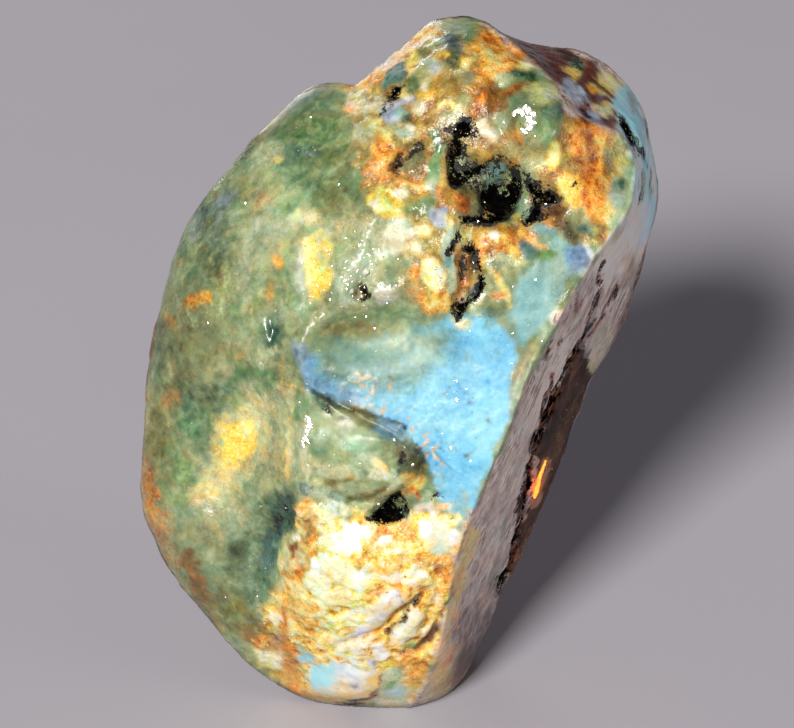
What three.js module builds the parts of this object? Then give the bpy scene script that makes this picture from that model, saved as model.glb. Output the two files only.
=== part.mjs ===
// Rough amber: one natural lump, standing on its narrow end.
// Millimetres, +Z up. The origin is at the middle of the small flat the lump
// rests on, and the lump's broad broken face looks towards -Y.
//
// The whole lump is one closed skin. Its front is drawn in a plane that leans
// back with the broad face: x runs to the right, y up the face, and the third
// number of each row is the depth towards the front of the lump.
import * as THREE from 'three';

// ---- driving dimensions (mm) ----
const SCALE = 1.0;              // 1 = natural size
const FACE_TURN = 12;           // degrees: how far the broad face is turned to +X
const FACE_LEAN = 28;           // degrees: how far the drawing plane leans back
const PLANE_HEIGHT = 22.7;      // height of the drawing plane's origin over the base
const EYE = 300;                // distance of the point the drawing plane is seen from
const FREQUENCY = 19;           // geodesic frequency: 20 * FREQUENCY^2 faces
const SMALLEST = 0.62;           // narrowest knob or pit worth a facet
const FRONT_ROUND = 2.4;        // width of the rounding at the edge of the front
const REAR_ROUND = 6.5;         // width of the rounding at the edge of the rear
const CENTRE = [0, -1, -2];     // middle of the lump in the drawing frame

// outer edge of the lump: x, y, depth
const OUTLINE = [
  [3.42, 22.19, 3], [4.45, 22.35, 3], [5.35, 22.26, 3], [6.13, 21.94, 2.6], [7.16, 21.35, 1.6],
  [8.26, 20.97, 1], [9.23, 20.71, 0.6], [10.26, 20.52, 0.2], [11.29, 20.45, 0], [12.19, 20.19, -0.3],
  [13.16, 19.68, -0.6], [14.06, 19.1, -0.8], [14.84, 18.32, -1.2], [15.42, 17.35, -1.6], [15.87, 16.32, -2],
  [16.26, 15.1, -2.4], [16.52, 13.81, -2.8], [16.71, 12.52, -3.2], [16.81, 11.23, -3.6], [16.71, 9.94, -4],
  [16.39, 8.58, -4.4], [16, 7.29, -4.8], [15.55, 6, -5.2], [15.03, 4.71, -5.6], [14.45, 3.1, -6],
  [13.81, 1.55, -6.4], [13.1, 0, -6.8], [12.39, -1.35, -7.1], [11.74, -2.84, -7.4], [11.1, -4.58, -7.7],
  [10.52, -6.45, -8], [9.81, -8.26, -8.3], [9.16, -9.87, -8.6], [8.45, -11.55, -8.9], [7.68, -13.16, -9.1],
  [6.84, -14.84, -9.1], [6.13, -16.52, -9], [5.35, -18.32, -8.6], [4.45, -20.06, -7.9], [3.35, -21.29, -7.1],
  [2.13, -22, -6.7], [0.52, -22.35, -6.5], [-1.1, -22.39, -6.4], [-3.35, -22.23, -6.4], [-4.84, -21.94, -6.3],
  [-6.26, -21.48, -6.2], [-7.35, -20.97, -6.1], [-8.71, -20.19, -5.9], [-9.94, -19.16, -5.6], [-10.9, -17.94, -5.3],
  [-11.81, -16.58, -5], [-12.71, -15.48, -4.7], [-13.55, -14.52, -4.4], [-14.19, -13.55, -4.1], [-14.84, -12.58, -3.8],
  [-15.42, -11.55, -3.5], [-15.87, -10.58, -3.2], [-16.26, -9.61, -2.9], [-16.45, -8.65, -2.7], [-16.52, -7.74, -2.5],
  [-16.45, -6.77, -2.2], [-16.35, -4.9, -1.7], [-16.19, -2.97, -1.2], [-16, -1.03, -0.7], [-15.68, 0.45, -0.3],
  [-15.42, 2.19, 0.1], [-15.23, 3.81, 0.4], [-14.97, 5.1, 0.6], [-14.58, 6.52, 0.8], [-14.13, 7.68, 1],
  [-13.74, 8.71, 1.2], [-13.23, 9.68, 1.3], [-12.65, 10.58, 1.4], [-11.94, 11.55, 1.5], [-11.03, 12.52, 1.6],
  [-10.19, 13.55, 1.7], [-9.48, 14.45, 1.8], [-8.58, 15.42, 1.9], [-7.55, 16.32, 2], [-6.77, 16.97, 2.1],
  [-6.06, 17.42, 2.2], [-5.29, 17.77, 2.2], [-4.32, 18, 2.2], [-3.48, 18.06, 2.3], [-2.84, 17.97, 2.3],
  [-2.32, 18.23, 2.4], [-1.74, 18.84, 2.5], [-0.84, 19.68, 2.6], [0.19, 20.39, 2.7], [1.16, 21.19, 2.9],
  [2.13, 21.9, 3], [2.84, 22.16, 3],
];
// arris between the broad face and the right flank, from the top down: x, y
const ARRIS = [
  [5.61, 22.26], [7.16, 20.9], [8.71, 19.74], [10, 18.19], [10.9, 16.65], [11.81, 15.61], [13.35, 15.35], [14.52, 14.84],
  [15.03, 13.68], [15.16, 12], [15.03, 10.26], [14.19, 8.77], [13.23, 7.61], [12.32, 6.32], [11.35, 4.65], [10.52, 3.1],
  [9.61, 1.55], [8.71, -0.13], [8.06, -1.94], [7.16, -4.39], [6.13, -6.71], [5.23, -8.65], [4.45, -10.32], [3.87, -12.13],
  [3.35, -14.32], [3.03, -16.65], [2.52, -18.84], [1.74, -20.65], [0.71, -22],
];
// depth of the front down its middle: y, depth
const MIDLINE = [
  [-22.97, -6], [-22, -4.4], [-21.03, -2.6], [-19.74, -0.8], [-17.81, 1.2], [-15.23, 3.2], [-12, 5.2],
  [-8.77, 6.8], [-5.55, 7.9], [-2.32, 8.7], [0.9, 9.4], [4.13, 10], [7.35, 10.3], [10.58, 10.3],
  [13.81, 9.9], [17.03, 9], [20.26, 7.2], [22.19, 5.6], [23.48, 4.6],
];
// broad swells and hollows of the front over that middle depth: x, y, rise
const FRONT = [
  [-3.35, 16.06, -3.6], [-6.26, 15.1, -4.4], [-8.84, 12.52, -5.2], [-11.42, 9.29, -5.8], [-4.32, 12.84, -2.6],
  [-6.9, 11.23, -3.2], [-9.48, 8, -3.8], [-12.06, 4.77, -4.8], [-14, 1.55, -6], [-6.26, 7.35, -1.9],
  [-3.68, 9.29, -1.2], [-1.1, 11.23, -0.6], [-0.77, 7.35, 0], [-3.35, 4.77, -0.6], [-6.26, 2.19, -0.8],
  [-9.48, 2.84, -2.6], [-12.71, -1.03, -5.2], [-15.16, -4.26, -7.6], [-10.45, -4.9, -3.9], [-10.45, -1.68, -3.8],
  [-12.39, -4.9, -4.8], [-11.1, -8.77, -4.8], [-8.52, -3.61, -2.8], [-6.9, -1.03, -0.8], [-6.13, -4.26, -0.2],
  [-6.52, -8.13, -0.4], [-7.55, -10.71, -2.4], [-8.71, -12.65, -3.2], [-9.81, -10.06, -4], [-12.71, -10.06, -5],
  [-12.39, -13.29, -5], [-10.13, -15.87, -4.2], [-8.19, -17.81, -3.2], [-6.26, -19.74, -2.6], [-4.32, -2.32, -0.3],
  [-1.74, -4.9, 0.2], [0.19, -6.84, 0.2], [-2.39, 1.55, -0.7], [0.84, 2.19, -0.5], [2.77, 0.26, 0.2],
  [5.35, -1.03, 0.5], [6.65, 2.19, 0.2], [8.58, 4.77, 0], [3.42, 4.13, 0], [3.42, -3.61, 0.4],
  [3.42, -7.48, 0.4], [5.35, -4.9, 0.5], [7.94, 0.9, 0.1], [-0.45, -10.06, -0.4], [-3.03, -10.06, 0.2],
  [-5.61, -12.65, 0], [-3.03, -13.94, 1.2], [0.19, -12.65, 1.2], [2.13, -11.35, 0.8], [2.13, -15.23, 0.8],
  [-0.45, -16.52, 1.2], [-3.68, -17.16, 1], [-6.26, -16.52, -0.6], [-3.03, -19.74, 0.4], [0.19, -19.1, 0.6],
  [1.81, -18.45, 0.2], [-1.1, -21.35, 0.2], [-4.32, -21.03, -0.6], [1.48, 13.81, -0.7], [0.19, 16.39, -1.2],
  [-1.42, 17.03, -2.2], [-1.74, 15.1, -1.6], [1.48, 18.97, -0.8], [3.42, 20.26, -0.1], [5.35, 20.26, 0],
  [3.42, 17.68, 0], [6, 18.32, 0.2], [8.58, 18.32, -0.2], [6.65, 15.74, 0.2], [9.23, 15.74, 0.8],
  [10.52, 13.81, 0.4], [9.87, 11.87, -0.2], [12.45, 13.16, -0.9], [13.1, 10.58, -1.1], [14.71, 12.52, -1.8],
  [11.81, 8.65, -0.5], [10.52, 7.35, -0.2], [6.32, 11.23, -0.8], [4.71, 12.52, -0.6], [4.06, 9.29, -0.2],
  [6.65, 8, 0], [4.71, 6.71, 0], [2.13, 9.29, 0.2], [2.13, 6.06, 0.3],
];
// depth of the rear: x, y, depth
const REAR = [
  [4.71, 20.9, -1.5], [1.48, 17.68, -3.6], [10.52, 17.68, -5.4], [-4.32, 15.1, -2.6], [6.65, 13.16, -8.2],
  [13.1, 11.87, -8.8], [-1.1, 10.58, -7.2], [-8.84, 10.58, -3.4], [10.52, 5.42, -11.6], [2.77, 5.42, -11.4],
  [-6.26, 4.13, -8.2], [-12.71, 4.13, -4.4], [7.94, -1.03, -13.6], [0.19, -1.03, -13.6], [-7.55, -2.32, -10.6],
  [-13.35, -3.61, -6.8], [6.65, -7.48, -15.2], [-1.1, -7.48, -15.2], [-8.84, -8.77, -11.6], [-13.35, -10.06, -8],
  [4.71, -13.94, -15.8], [-1.1, -13.94, -16.2], [-6.9, -14.58, -13.4], [-11.42, -15.23, -9.6], [2.13, -18.45, -15],
  [-3.68, -18.45, -14.6], [-7.55, -19.1, -11.5],
];
// knobs, pits, grooves and ledges of the broken face
const RELIEF = [
  { dome: [-10.26, -5.23], size: [3.23, 4.52], turn: -20, rise: -1.3, edge: 1.3 },
  { dome: [-12.9, -3.48], size: [1.29, 1.81], turn: -10, rise: -0.5, edge: 1 },
  { dome: [-5.29, 6.06], size: [0.84, 1.94], turn: 0, rise: -0.35, edge: 1.2 },
  { dome: [-7.81, 2.19], size: [0.58, 1.29], turn: 0, rise: -0.6, edge: 1 },
  { line: [[-0.19, 11.74], [-1.48, 9.16], [-2.84, 6.58], [-4.13, 3.81], [-6.06, 1.55], [-7.23, 0.77]], width: 0.71, rise: 0.5 },
  { line: [[-6.26, 0.13], [-5.87, -2.32], [-5.68, -4.9], [-6.06, -8.13], [-6.77, -12.65]], width: 0.58, rise: 0.35 },
  { dome: [-2.26, 4.71], size: [0.52, 0.65], turn: 0, rise: -0.9, edge: 1.5 },
  { line: [[-1.87, 4.58], [0.39, 4.71]], width: 0.26, rise: 0.35 },
  { dome: [-1.61, 2.06], size: [3.61, 1.74], turn: 5, rise: -0.7, edge: 1.5 },
  { dome: [4.19, -0.52], size: [4.52, 2.97], turn: 30, rise: -0.45, edge: 1.2 },
  { ledge: [[-7.16, -1.29], [-5.1, -2], [-3.03, -2.97], [-1.23, -3.94], [0.19, -4.9], [1.81, -5.68], [2.9, -6.32]], width: 0.16, reach: 1.68, rise: 0.35 },
  { line: [[-4.32, -2.32], [-2.9, -3.03], [-1.23, -4], [0.32, -5.03], [1.81, -5.87]], width: 0.19, rise: -0.35 },
  { dome: [-2, -6.26], size: [3.23, 2.06], turn: -14, rise: 0.8, edge: 2 },
  { line: [[-5.48, -7.48], [-4.32, -8.39], [-2.9, -8.97], [-1.23, -9.03], [0.32, -8.45], [1.35, -7.35], [1.74, -6.19]], width: 0.29, rise: -0.55 },
  { dome: [-0.52, -9.42], size: [1.1, 0.52], turn: 12, rise: -1, edge: 1.5 },
  { dome: [-8.58, -11.87], size: [1.55, 2.71], turn: -10, rise: -1.1, edge: 1.3 },
  { line: [[2.84, -13.42], [2.32, -15.23], [1.48, -16.9]], width: 0.32, rise: -0.5 },
  { line: [[0.52, -12.39], [0.06, -14.58], [0.52, -16.52], [-0.19, -18.19]], width: 0.32, rise: -0.35 },
  { dome: [0.32, -15.23], size: [1.03, 1.42], turn: 0, rise: 0.3, edge: 1 },
  { line: [[-2.9, -12.65], [-3.68, -15.23], [-2.9, -17.81], [-3.42, -20.39]], width: 0.39, rise: -0.25 },
  { dome: [-3.29, 17.1], size: [1.03, 0.84], turn: 0, rise: -0.5, edge: 1 },
  { line: [[-2.39, 18.32], [-1.61, 17.55], [-0.45, 17.55], [0.65, 17.1]], width: 0.45, rise: -0.9 },
  { dome: [4.06, 20.26], size: [2.32, 1.68], turn: 0, rise: 0.4, edge: 1.3 },
  { dome: [9.29, 15.81], size: [2.19, 2.19], turn: 0, rise: 1, edge: 1.6 },
  { line: [[6.65, 17.55], [6.45, 15.61], [7.29, 13.81], [9.23, 13.16], [11.16, 13.81]], width: 0.39, rise: -0.45 },
  { dome: [6.65, 11.42], size: [1.94, 1.55], turn: -25, rise: -1.2, edge: 1.4 },
  { dome: [4.58, 13.03], size: [1.29, 1.16], turn: 0, rise: -0.6, edge: 1.2 },
  { dome: [9.29, 10.39], size: [1.55, 0.71], turn: 20, rise: -0.6, edge: 1.2 },
  { line: [[4.84, 9.16], [4.26, 7.03], [4.45, 5.1], [3.94, 3.35]], width: 0.45, rise: -0.5 },
  { line: [[-0.19, 12.77], [0.71, 13.81], [2, 14.39]], width: 0.23, rise: -0.45 },
  { dome: [1.48, 19.48], size: [1.16, 1.03], turn: 0, rise: -0.4, edge: 1 },
  { dome: [12.13, 11.55], size: [1.68, 1.42], turn: 0, rise: 0.3, edge: 1 },
];
// shallow chips in the rear and the right flank: centre, radius, depth
const CHIPS = [
  [11.5, 2.5, 30, 6.5, 0.7], [12.5, -3, 24, 5, 0.55], [8.5, 4, 12, 6, 0.6], [6, -4.5, 9, 4, 0.45],
  [13.5, 6.5, 37, 5, 0.6], [2, 13, 24, 8.5, 1.1], [-7, 11, 31, 7, 0.9], [7.5, 12, 36, 6.5, 0.9],
  [-10, 8, 20, 6.5, 0.8], [-3, 9.5, 10, 6.5, 0.9], [6, 10.5, 14, 5.5, 0.7], [-14.5, 2.5, 26, 5, 0.6],
  [-12, 1.5, 11, 5, 0.7], [-5, 8.5, 41, 4, 0.5], [0.5, -1.5, 5, 0.1, 0],
];

// ---- the drawing frame ----
const rad = THREE.MathUtils.degToRad;
const right = new THREE.Vector3(Math.cos(rad(FACE_TURN)), Math.sin(rad(FACE_TURN)), 0);
const front = new THREE.Vector3(
  Math.sin(rad(FACE_TURN)) * Math.cos(rad(FACE_LEAN)),
  -Math.cos(rad(FACE_TURN)) * Math.cos(rad(FACE_LEAN)),
  Math.sin(rad(FACE_LEAN)));
const up = new THREE.Vector3().crossVectors(front, right);
const toSpace = (r, u, f) => new THREE.Vector3(0, 0, PLANE_HEIGHT)
  .addScaledVector(right, r).addScaledVector(up, u).addScaledVector(front, f);

// ---- small mathematics ----
const clamp = (v, a, b) => Math.min(b, Math.max(a, v));
const smooth = (t) => { const c = clamp(t, 0, 1); return c * c * (3 - 2 * c); };

// round a chain of rows by cutting its corners
function cutCorners(rows, times, closed) {
  let list = rows;
  for (let n = 0; n < times; n++) {
    const next = closed ? [] : [list[0]];
    const last = closed ? list.length : list.length - 1;
    for (let i = 0; i < last; i++) {
      const a = list[i], b = list[(i + 1) % list.length];
      next.push(a.map((v, k) => v * 0.75 + b[k] * 0.25), a.map((v, k) => v * 0.25 + b[k] * 0.75));
    }
    if (!closed) next.push(list[list.length - 1]);
    list = next;
  }
  return list;
}

// solve a small dense linear system by elimination
function solve(A, b) {
  const n = b.length, M = A.map((row, i) => [...row, b[i]]);
  for (let c = 0; c < n; c++) {
    let p = c;
    for (let r = c + 1; r < n; r++) if (Math.abs(M[r][c]) > Math.abs(M[p][c])) p = r;
    [M[c], M[p]] = [M[p], M[c]];
    for (let r = c + 1; r < n; r++) {
      const k = M[r][c] / M[c][c];
      if (k !== 0) for (let j = c; j <= n; j++) M[r][j] -= k * M[c][j];
    }
  }
  const x = new Array(n).fill(0);
  for (let r = n - 1; r >= 0; r--) {
    let s = M[r][n];
    for (let j = r + 1; j < n; j++) s -= M[r][j] * x[j];
    x[r] = s / M[r][r];
  }
  return x;
}

// a smooth sheet through scattered heights
function sheet(rows, soft, slack) {
  const n = rows.length;
  const A = [], b = [];
  for (let i = 0; i < n; i++) {
    const row = rows.map((q) => -Math.sqrt((rows[i][0] - q[0]) ** 2 + (rows[i][1] - q[1]) ** 2 + soft * soft));
    row[i] += slack;
    A.push([...row, 1, rows[i][0], rows[i][1]]);
    b.push(rows[i][2]);
  }
  A.push([...rows.map(() => 1), 0, 0, 0], [...rows.map((q) => q[0]), 0, 0, 0], [...rows.map((q) => q[1]), 0, 0, 0]);
  const w = solve(A, [...b, 0, 0, 0]);
  return (x, y) => {
    let v = w[n] + w[n + 1] * x + w[n + 2] * y;
    for (let i = 0; i < n; i++) v -= w[i] * Math.sqrt((x - rows[i][0]) ** 2 + (y - rows[i][1]) ** 2 + soft * soft);
    return v;
  };
}

// cubic curve through the rows of the midline
const slope = MIDLINE.map((row, i) => {
  if (i === 0) return (MIDLINE[1][1] - row[1]) / (MIDLINE[1][0] - row[0]);
  if (i === MIDLINE.length - 1) return (row[1] - MIDLINE[i - 1][1]) / (row[0] - MIDLINE[i - 1][0]);
  const a = row[0] - MIDLINE[i - 1][0], b = MIDLINE[i + 1][0] - row[0];
  const p = (row[1] - MIDLINE[i - 1][1]) / a, q = (MIDLINE[i + 1][1] - row[1]) / b;
  return (p * b + q * a) / (a + b);
});
function midline(y) {
  const v = clamp(y, MIDLINE[0][0], MIDLINE[MIDLINE.length - 1][0]);
  let i = 0;
  while (i < MIDLINE.length - 2 && v > MIDLINE[i + 1][0]) i++;
  const h = MIDLINE[i + 1][0] - MIDLINE[i][0], t = (v - MIDLINE[i][0]) / h;
  return (2 * t ** 3 - 3 * t ** 2 + 1) * MIDLINE[i][1] + (t ** 3 - 2 * t ** 2 + t) * h * slope[i]
    + (3 * t ** 2 - 2 * t ** 3) * MIDLINE[i + 1][1] + (t ** 3 - t ** 2) * h * slope[i + 1];
}

// nearest place on a chain: distance, the chain's own third number there, and the side
function nearest(chain, closed, x, y) {
  let best = Infinity, value = 0, side = 0, odd = false;
  const last = closed ? chain.length : chain.length - 1;
  for (let i = 0; i < last; i++) {
    const a = chain[i], b = chain[(i + 1) % chain.length];
    const dx = b[0] - a[0], dy = b[1] - a[1], ex = x - a[0], ey = y - a[1];
    const t = clamp((ex * dx + ey * dy) / (dx * dx + dy * dy + 1e-12), 0, 1);
    const d = (ex - t * dx) ** 2 + (ey - t * dy) ** 2;
    if (d < best) { best = d; value = a[2] * (1 - t) + b[2] * t; side = dx * ey - dy * ex; }
    if ((a[1] > y) !== (b[1] > y) && ex < (ey * dx) / (dy || 1e-9)) odd = !odd;
  }
  return { distance: Math.sqrt(best), value, side, inside: odd };
}

// ---- the front and rear of the lump ----
const frontSheet = sheet(FRONT, 0.774, 0.129);
const rearSheet = sheet(REAR, 1.29, 0.258);
const outline = cutCorners(OUTLINE, 2, true);
const broad = (x, y) => midline(y) + frontSheet(x, y);
const arris = cutCorners(ARRIS, 2, false).map(([x, y]) => [x, y, broad(x, y)]);

function relief(x, y) {
  let h = 0;
  for (const f of RELIEF) {
    if (f.dome && Math.min(...f.size) < SMALLEST) continue;
    if (f.line && f.width < SMALLEST * 0.55) continue;
    if (f.dome) {
      const c = Math.cos(rad(f.turn)), s = Math.sin(rad(f.turn));
      const dx = x - f.dome[0], dy = y - f.dome[1];
      const a = (dx * c + dy * s) / f.size[0], b = (-dx * s + dy * c) / f.size[1];
      h += f.rise * Math.exp(-((a * a + b * b) ** f.edge));
    } else {
      const n = nearest(f.line || f.ledge, false, x, y);
      if (f.line) h += f.rise * Math.exp(-((n.distance / f.width) ** 2));
      else {
        const s = n.side < 0 ? n.distance : -n.distance;
        h += f.rise * smooth(s / Math.max(f.width, SMALLEST) / 2 + 0.5) * Math.exp(-((n.distance / f.reach) ** 2));
      }
    }
  }
  return h;
}

// depth left between a point of the drawing frame and the skin; negative is outside
function within(r, u, f) {
  const k = EYE / (EYE - f), x = r * k, y = u * k;
  const o = nearest(outline, true, x, y);
  const s = o.inside ? o.distance : -o.distance;
  if (s < 0) return s;
  const a = nearest(arris, false, x, y);
  const beyond = a.side > 0 ? a.distance : -a.distance;
  const t = clamp(s / FRONT_ROUND, 0, 1);
  let near;
  if (beyond > 0) near = a.value + (o.value - a.value) * (beyond / (beyond + s + 1e-6)) ** 1.12;
  else {
    const g = broad(x, y);
    near = o.value + (g - o.value) * Math.sqrt(1 - (1 - t) ** 2);
  }
  const tb = clamp(s / REAR_ROUND, 0, 1);
  const far = o.value + (Math.min(rearSheet(x, y), o.value - 0.3) - o.value) * (1 - (1 - tb) ** 2.2) ** 0.62;
  const z = PLANE_HEIGHT + u * up.z + f * front.z;
  return Math.min(near - f, f - far, s, z);
}

// ---- the skin: a geodesic ball of directions, each run out to the surface ----
function geodesic(frequency) {
  const g = (1 + Math.sqrt(5)) / 2;
  const V = [[-1, g, 0], [1, g, 0], [-1, -g, 0], [1, -g, 0], [0, -1, g], [0, 1, g], [0, -1, -g], [0, 1, -g],
    [g, 0, -1], [g, 0, 1], [-g, 0, -1], [-g, 0, 1]];
  const F = [[0, 11, 5], [0, 5, 1], [0, 1, 7], [0, 7, 10], [0, 10, 11], [1, 5, 9], [5, 11, 4], [11, 10, 2], [10, 7, 6],
    [7, 1, 8], [3, 9, 4], [3, 4, 2], [3, 2, 6], [3, 6, 8], [3, 8, 9], [4, 9, 5], [2, 4, 11], [6, 2, 10], [8, 6, 7], [9, 8, 1]];
  const points = [], faces = [], found = new Map();
  const point = (a, b, c, i, j, k) => {
    const p = [0, 1, 2].map((n) => (V[a][n] * i + V[b][n] * j + V[c][n] * k) / frequency);
    const key = p.map((v) => Math.round(v * 1e6)).join();
    if (!found.has(key)) { found.set(key, points.length); points.push(new THREE.Vector3(...p).normalize()); }
    return found.get(key);
  };
  for (const [a, b, c] of F) {
    const at = (i, j) => point(a, b, c, i, j, frequency - i - j);
    for (let i = 0; i < frequency; i++) for (let j = 0; j < frequency - i; j++) {
      const three = [[at(i, j), at(i + 1, j), at(i, j + 1)]];
      if (i + j < frequency - 1) three.push([at(i + 1, j), at(i + 1, j + 1), at(i, j + 1)]);
      for (const [p, q, s] of three) {
        const n = new THREE.Vector3().subVectors(points[q], points[p]).cross(new THREE.Vector3().subVectors(points[s], points[p]));
        faces.push(n.dot(points[p]) > 0 ? [p, q, s] : [p, s, q]);
      }
    }
  }
  return { points, faces };
}

const ball = geodesic(FREQUENCY);
const skin = ball.points.map((d) => {
  const v = [d.dot(right), d.dot(up), d.dot(front)];
  const out = (t) => within(CENTRE[0] + v[0] * t, CENTRE[1] + v[1] * t, CENTRE[2] + v[2] * t) < 0;
  let hi = 1;
  while (hi < 40 && !out(hi)) hi += 0.5;
  let lo = hi - 0.5;
  for (let n = 0; n < 16; n++) { const m = (lo + hi) / 2; if (out(m)) hi = m; else lo = m; }
  const t = (lo + hi) / 2;
  return toSpace(CENTRE[0] + v[0] * t, CENTRE[1] + v[1] * t, CENTRE[2] + v[2] * t);
});

// ---- the relief of the broad face, carved along the lines from the eye ----
const carved = skin.map((p) => {
  const d = p.clone(); d.z -= PLANE_HEIGHT;
  const r = d.dot(right), u = d.dot(up), f = d.dot(front), k = EYE / (EYE - f), x = r * k, y = u * k;
  const o = nearest(outline, true, x, y), a = nearest(arris, false, x, y);
  const s = o.inside ? o.distance : -o.distance, beyond = a.side > 0 ? a.distance : -a.distance;
  const g = f + relief(x, y) * smooth(s / 1.5) * smooth(-beyond / 0.8 + 0.2) * smooth((f - o.value) / 0.8);
  const m = (EYE - g) / (EYE - f);
  return toSpace(r * m, u * m, g);
});

// ---- undulation of the natural skin and the chips in it ----
function lattice(i, j, k) {
  let h = Math.imul(i, 374761393) ^ Math.imul(j, 668265263) ^ Math.imul(k, 1440662683);
  h = Math.imul(h ^ (h >>> 13), 1274126177);
  return ((h ^ (h >>> 16)) >>> 0) / 2147483647.5 - 1;
}
function waves(x, y, z) {
  const i = Math.floor(x), j = Math.floor(y), k = Math.floor(z);
  const e = (t) => t * t * t * (t * (t * 6 - 15) + 10);
  const a = e(x - i), b = e(y - j), c = e(z - k);
  let v = 0;
  for (let n = 0; n < 8; n++) {
    const p = n & 1, q = (n >> 1) & 1, s = n >> 2;
    v += lattice(i + p, j + q, k + s) * (p ? a : 1 - a) * (q ? b : 1 - b) * (s ? c : 1 - c);
  }
  return v;
}
const normals = carved.map(() => new THREE.Vector3());
for (const [a, b, c] of ball.faces) {
  const n = new THREE.Vector3().subVectors(carved[b], carved[a]).cross(new THREE.Vector3().subVectors(carved[c], carved[a]));
  normals[a].add(n); normals[b].add(n); normals[c].add(n);
}
const worn = carved.map((p, i) => {
  const n = normals[i].clone().normalize();
  const faces = smooth(0.5 - n.dot(front) * 1.4);            // 0 on the broad face, 1 behind
  const low = smooth((p.z - 0.2) / 2.5);                     // the resting flat stays flat
  let h = (0.5 * waves(p.x / 7.5, p.y / 7.5, p.z / 7.5) + 0.2 * waves(p.x / 3.4 + 7, p.y / 3.4, p.z / 3.4)) * (0.25 + 0.75 * faces);
  for (const [x, y, z, radius, depth] of CHIPS) {
    const d2 = (p.x - x) ** 2 + (p.y - y) ** 2 + (p.z - z) ** 2;
    h -= depth * Math.max(0, 1 - d2 / (radius * radius)) * faces;
  }
  return p.clone().addScaledVector(n, h * low);
});

// ---- wear: the sharpest facets are eased without shrinking the lump ----
const around = worn.map(() => new Set());
for (const [a, b, c] of ball.faces) {
  around[a].add(b).add(c); around[b].add(c).add(a); around[c].add(a).add(b);
}
let shaped = worn;
for (const pull of [0.5, -0.53, 0.5, -0.53]) {
  shaped = shaped.map((p, i) => {
    if (worn[i].z < 0.02) return p;
    const mean = new THREE.Vector3();
    for (const j of around[i]) mean.add(shaped[j]);
    return p.clone().lerp(mean.divideScalar(around[i].size), pull);
  });
}
shaped = shaped.map((p) => new THREE.Vector3(p.x, p.y, p.z < 0.02 ? 0 : p.z).multiplyScalar(SCALE));

const geometry = new THREE.BufferGeometry();
geometry.setAttribute('position', new THREE.Float32BufferAttribute(shaped.flatMap((p) => [p.x, p.y, p.z]), 3));
geometry.setIndex(ball.faces.flat());
geometry.computeVertexNormals();

const amber = new THREE.MeshStandardMaterial({ color: 0x7d8a5c, roughness: 0.32, metalness: 0 });
const lump = new THREE.Mesh(geometry, amber);
lump.name = 'rough_amber';

const object = new THREE.Group();
object.name = 'rough_amber_specimen';
object.add(lump);
export default object;
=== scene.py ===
"""Looks of the rough amber: the lump's fine skin, its glass, crust and rind, and what is sealed in it.

Lengths in the form's own tables are in millimetres or in drawing units (one unit is 1/15.5 mm) on a plane
that leans back with the broad face, as in part.mjs. Everything handed to Blender is in metres.
"""
import bpy
import math
import numpy as np
from mathutils import Matrix, Vector


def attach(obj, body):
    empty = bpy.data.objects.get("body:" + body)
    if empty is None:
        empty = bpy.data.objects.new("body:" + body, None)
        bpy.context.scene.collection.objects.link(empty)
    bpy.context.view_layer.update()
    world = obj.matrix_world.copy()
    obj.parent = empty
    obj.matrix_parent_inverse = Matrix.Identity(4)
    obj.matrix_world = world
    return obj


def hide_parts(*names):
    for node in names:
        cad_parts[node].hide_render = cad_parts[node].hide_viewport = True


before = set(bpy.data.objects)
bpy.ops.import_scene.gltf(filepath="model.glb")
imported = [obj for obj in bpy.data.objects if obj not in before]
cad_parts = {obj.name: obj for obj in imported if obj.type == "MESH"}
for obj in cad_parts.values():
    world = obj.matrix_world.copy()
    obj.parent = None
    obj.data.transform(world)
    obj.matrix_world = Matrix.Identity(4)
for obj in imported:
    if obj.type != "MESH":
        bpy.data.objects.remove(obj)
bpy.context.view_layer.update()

# ---------------------------------------------------------------- the drawing frame
TURN, LEAN = math.radians(12.0), math.radians(28.0)
cA, sA, cE, sE = math.cos(TURN), math.sin(TURN), math.cos(LEAN), math.sin(LEAN)
RIGHT = np.array([cA, sA, 0.0])
UP = np.array([-sA * sE, cA * sE, cE])
BACK = np.array([sA * cE, -cA * cE, sE])          # towards the eye
UNIT, EYE = 15.5, 300.0                            # units per mm, eye distance in mm
CX, CY, Z0 = 397.0, 364.0, 22.7
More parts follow.
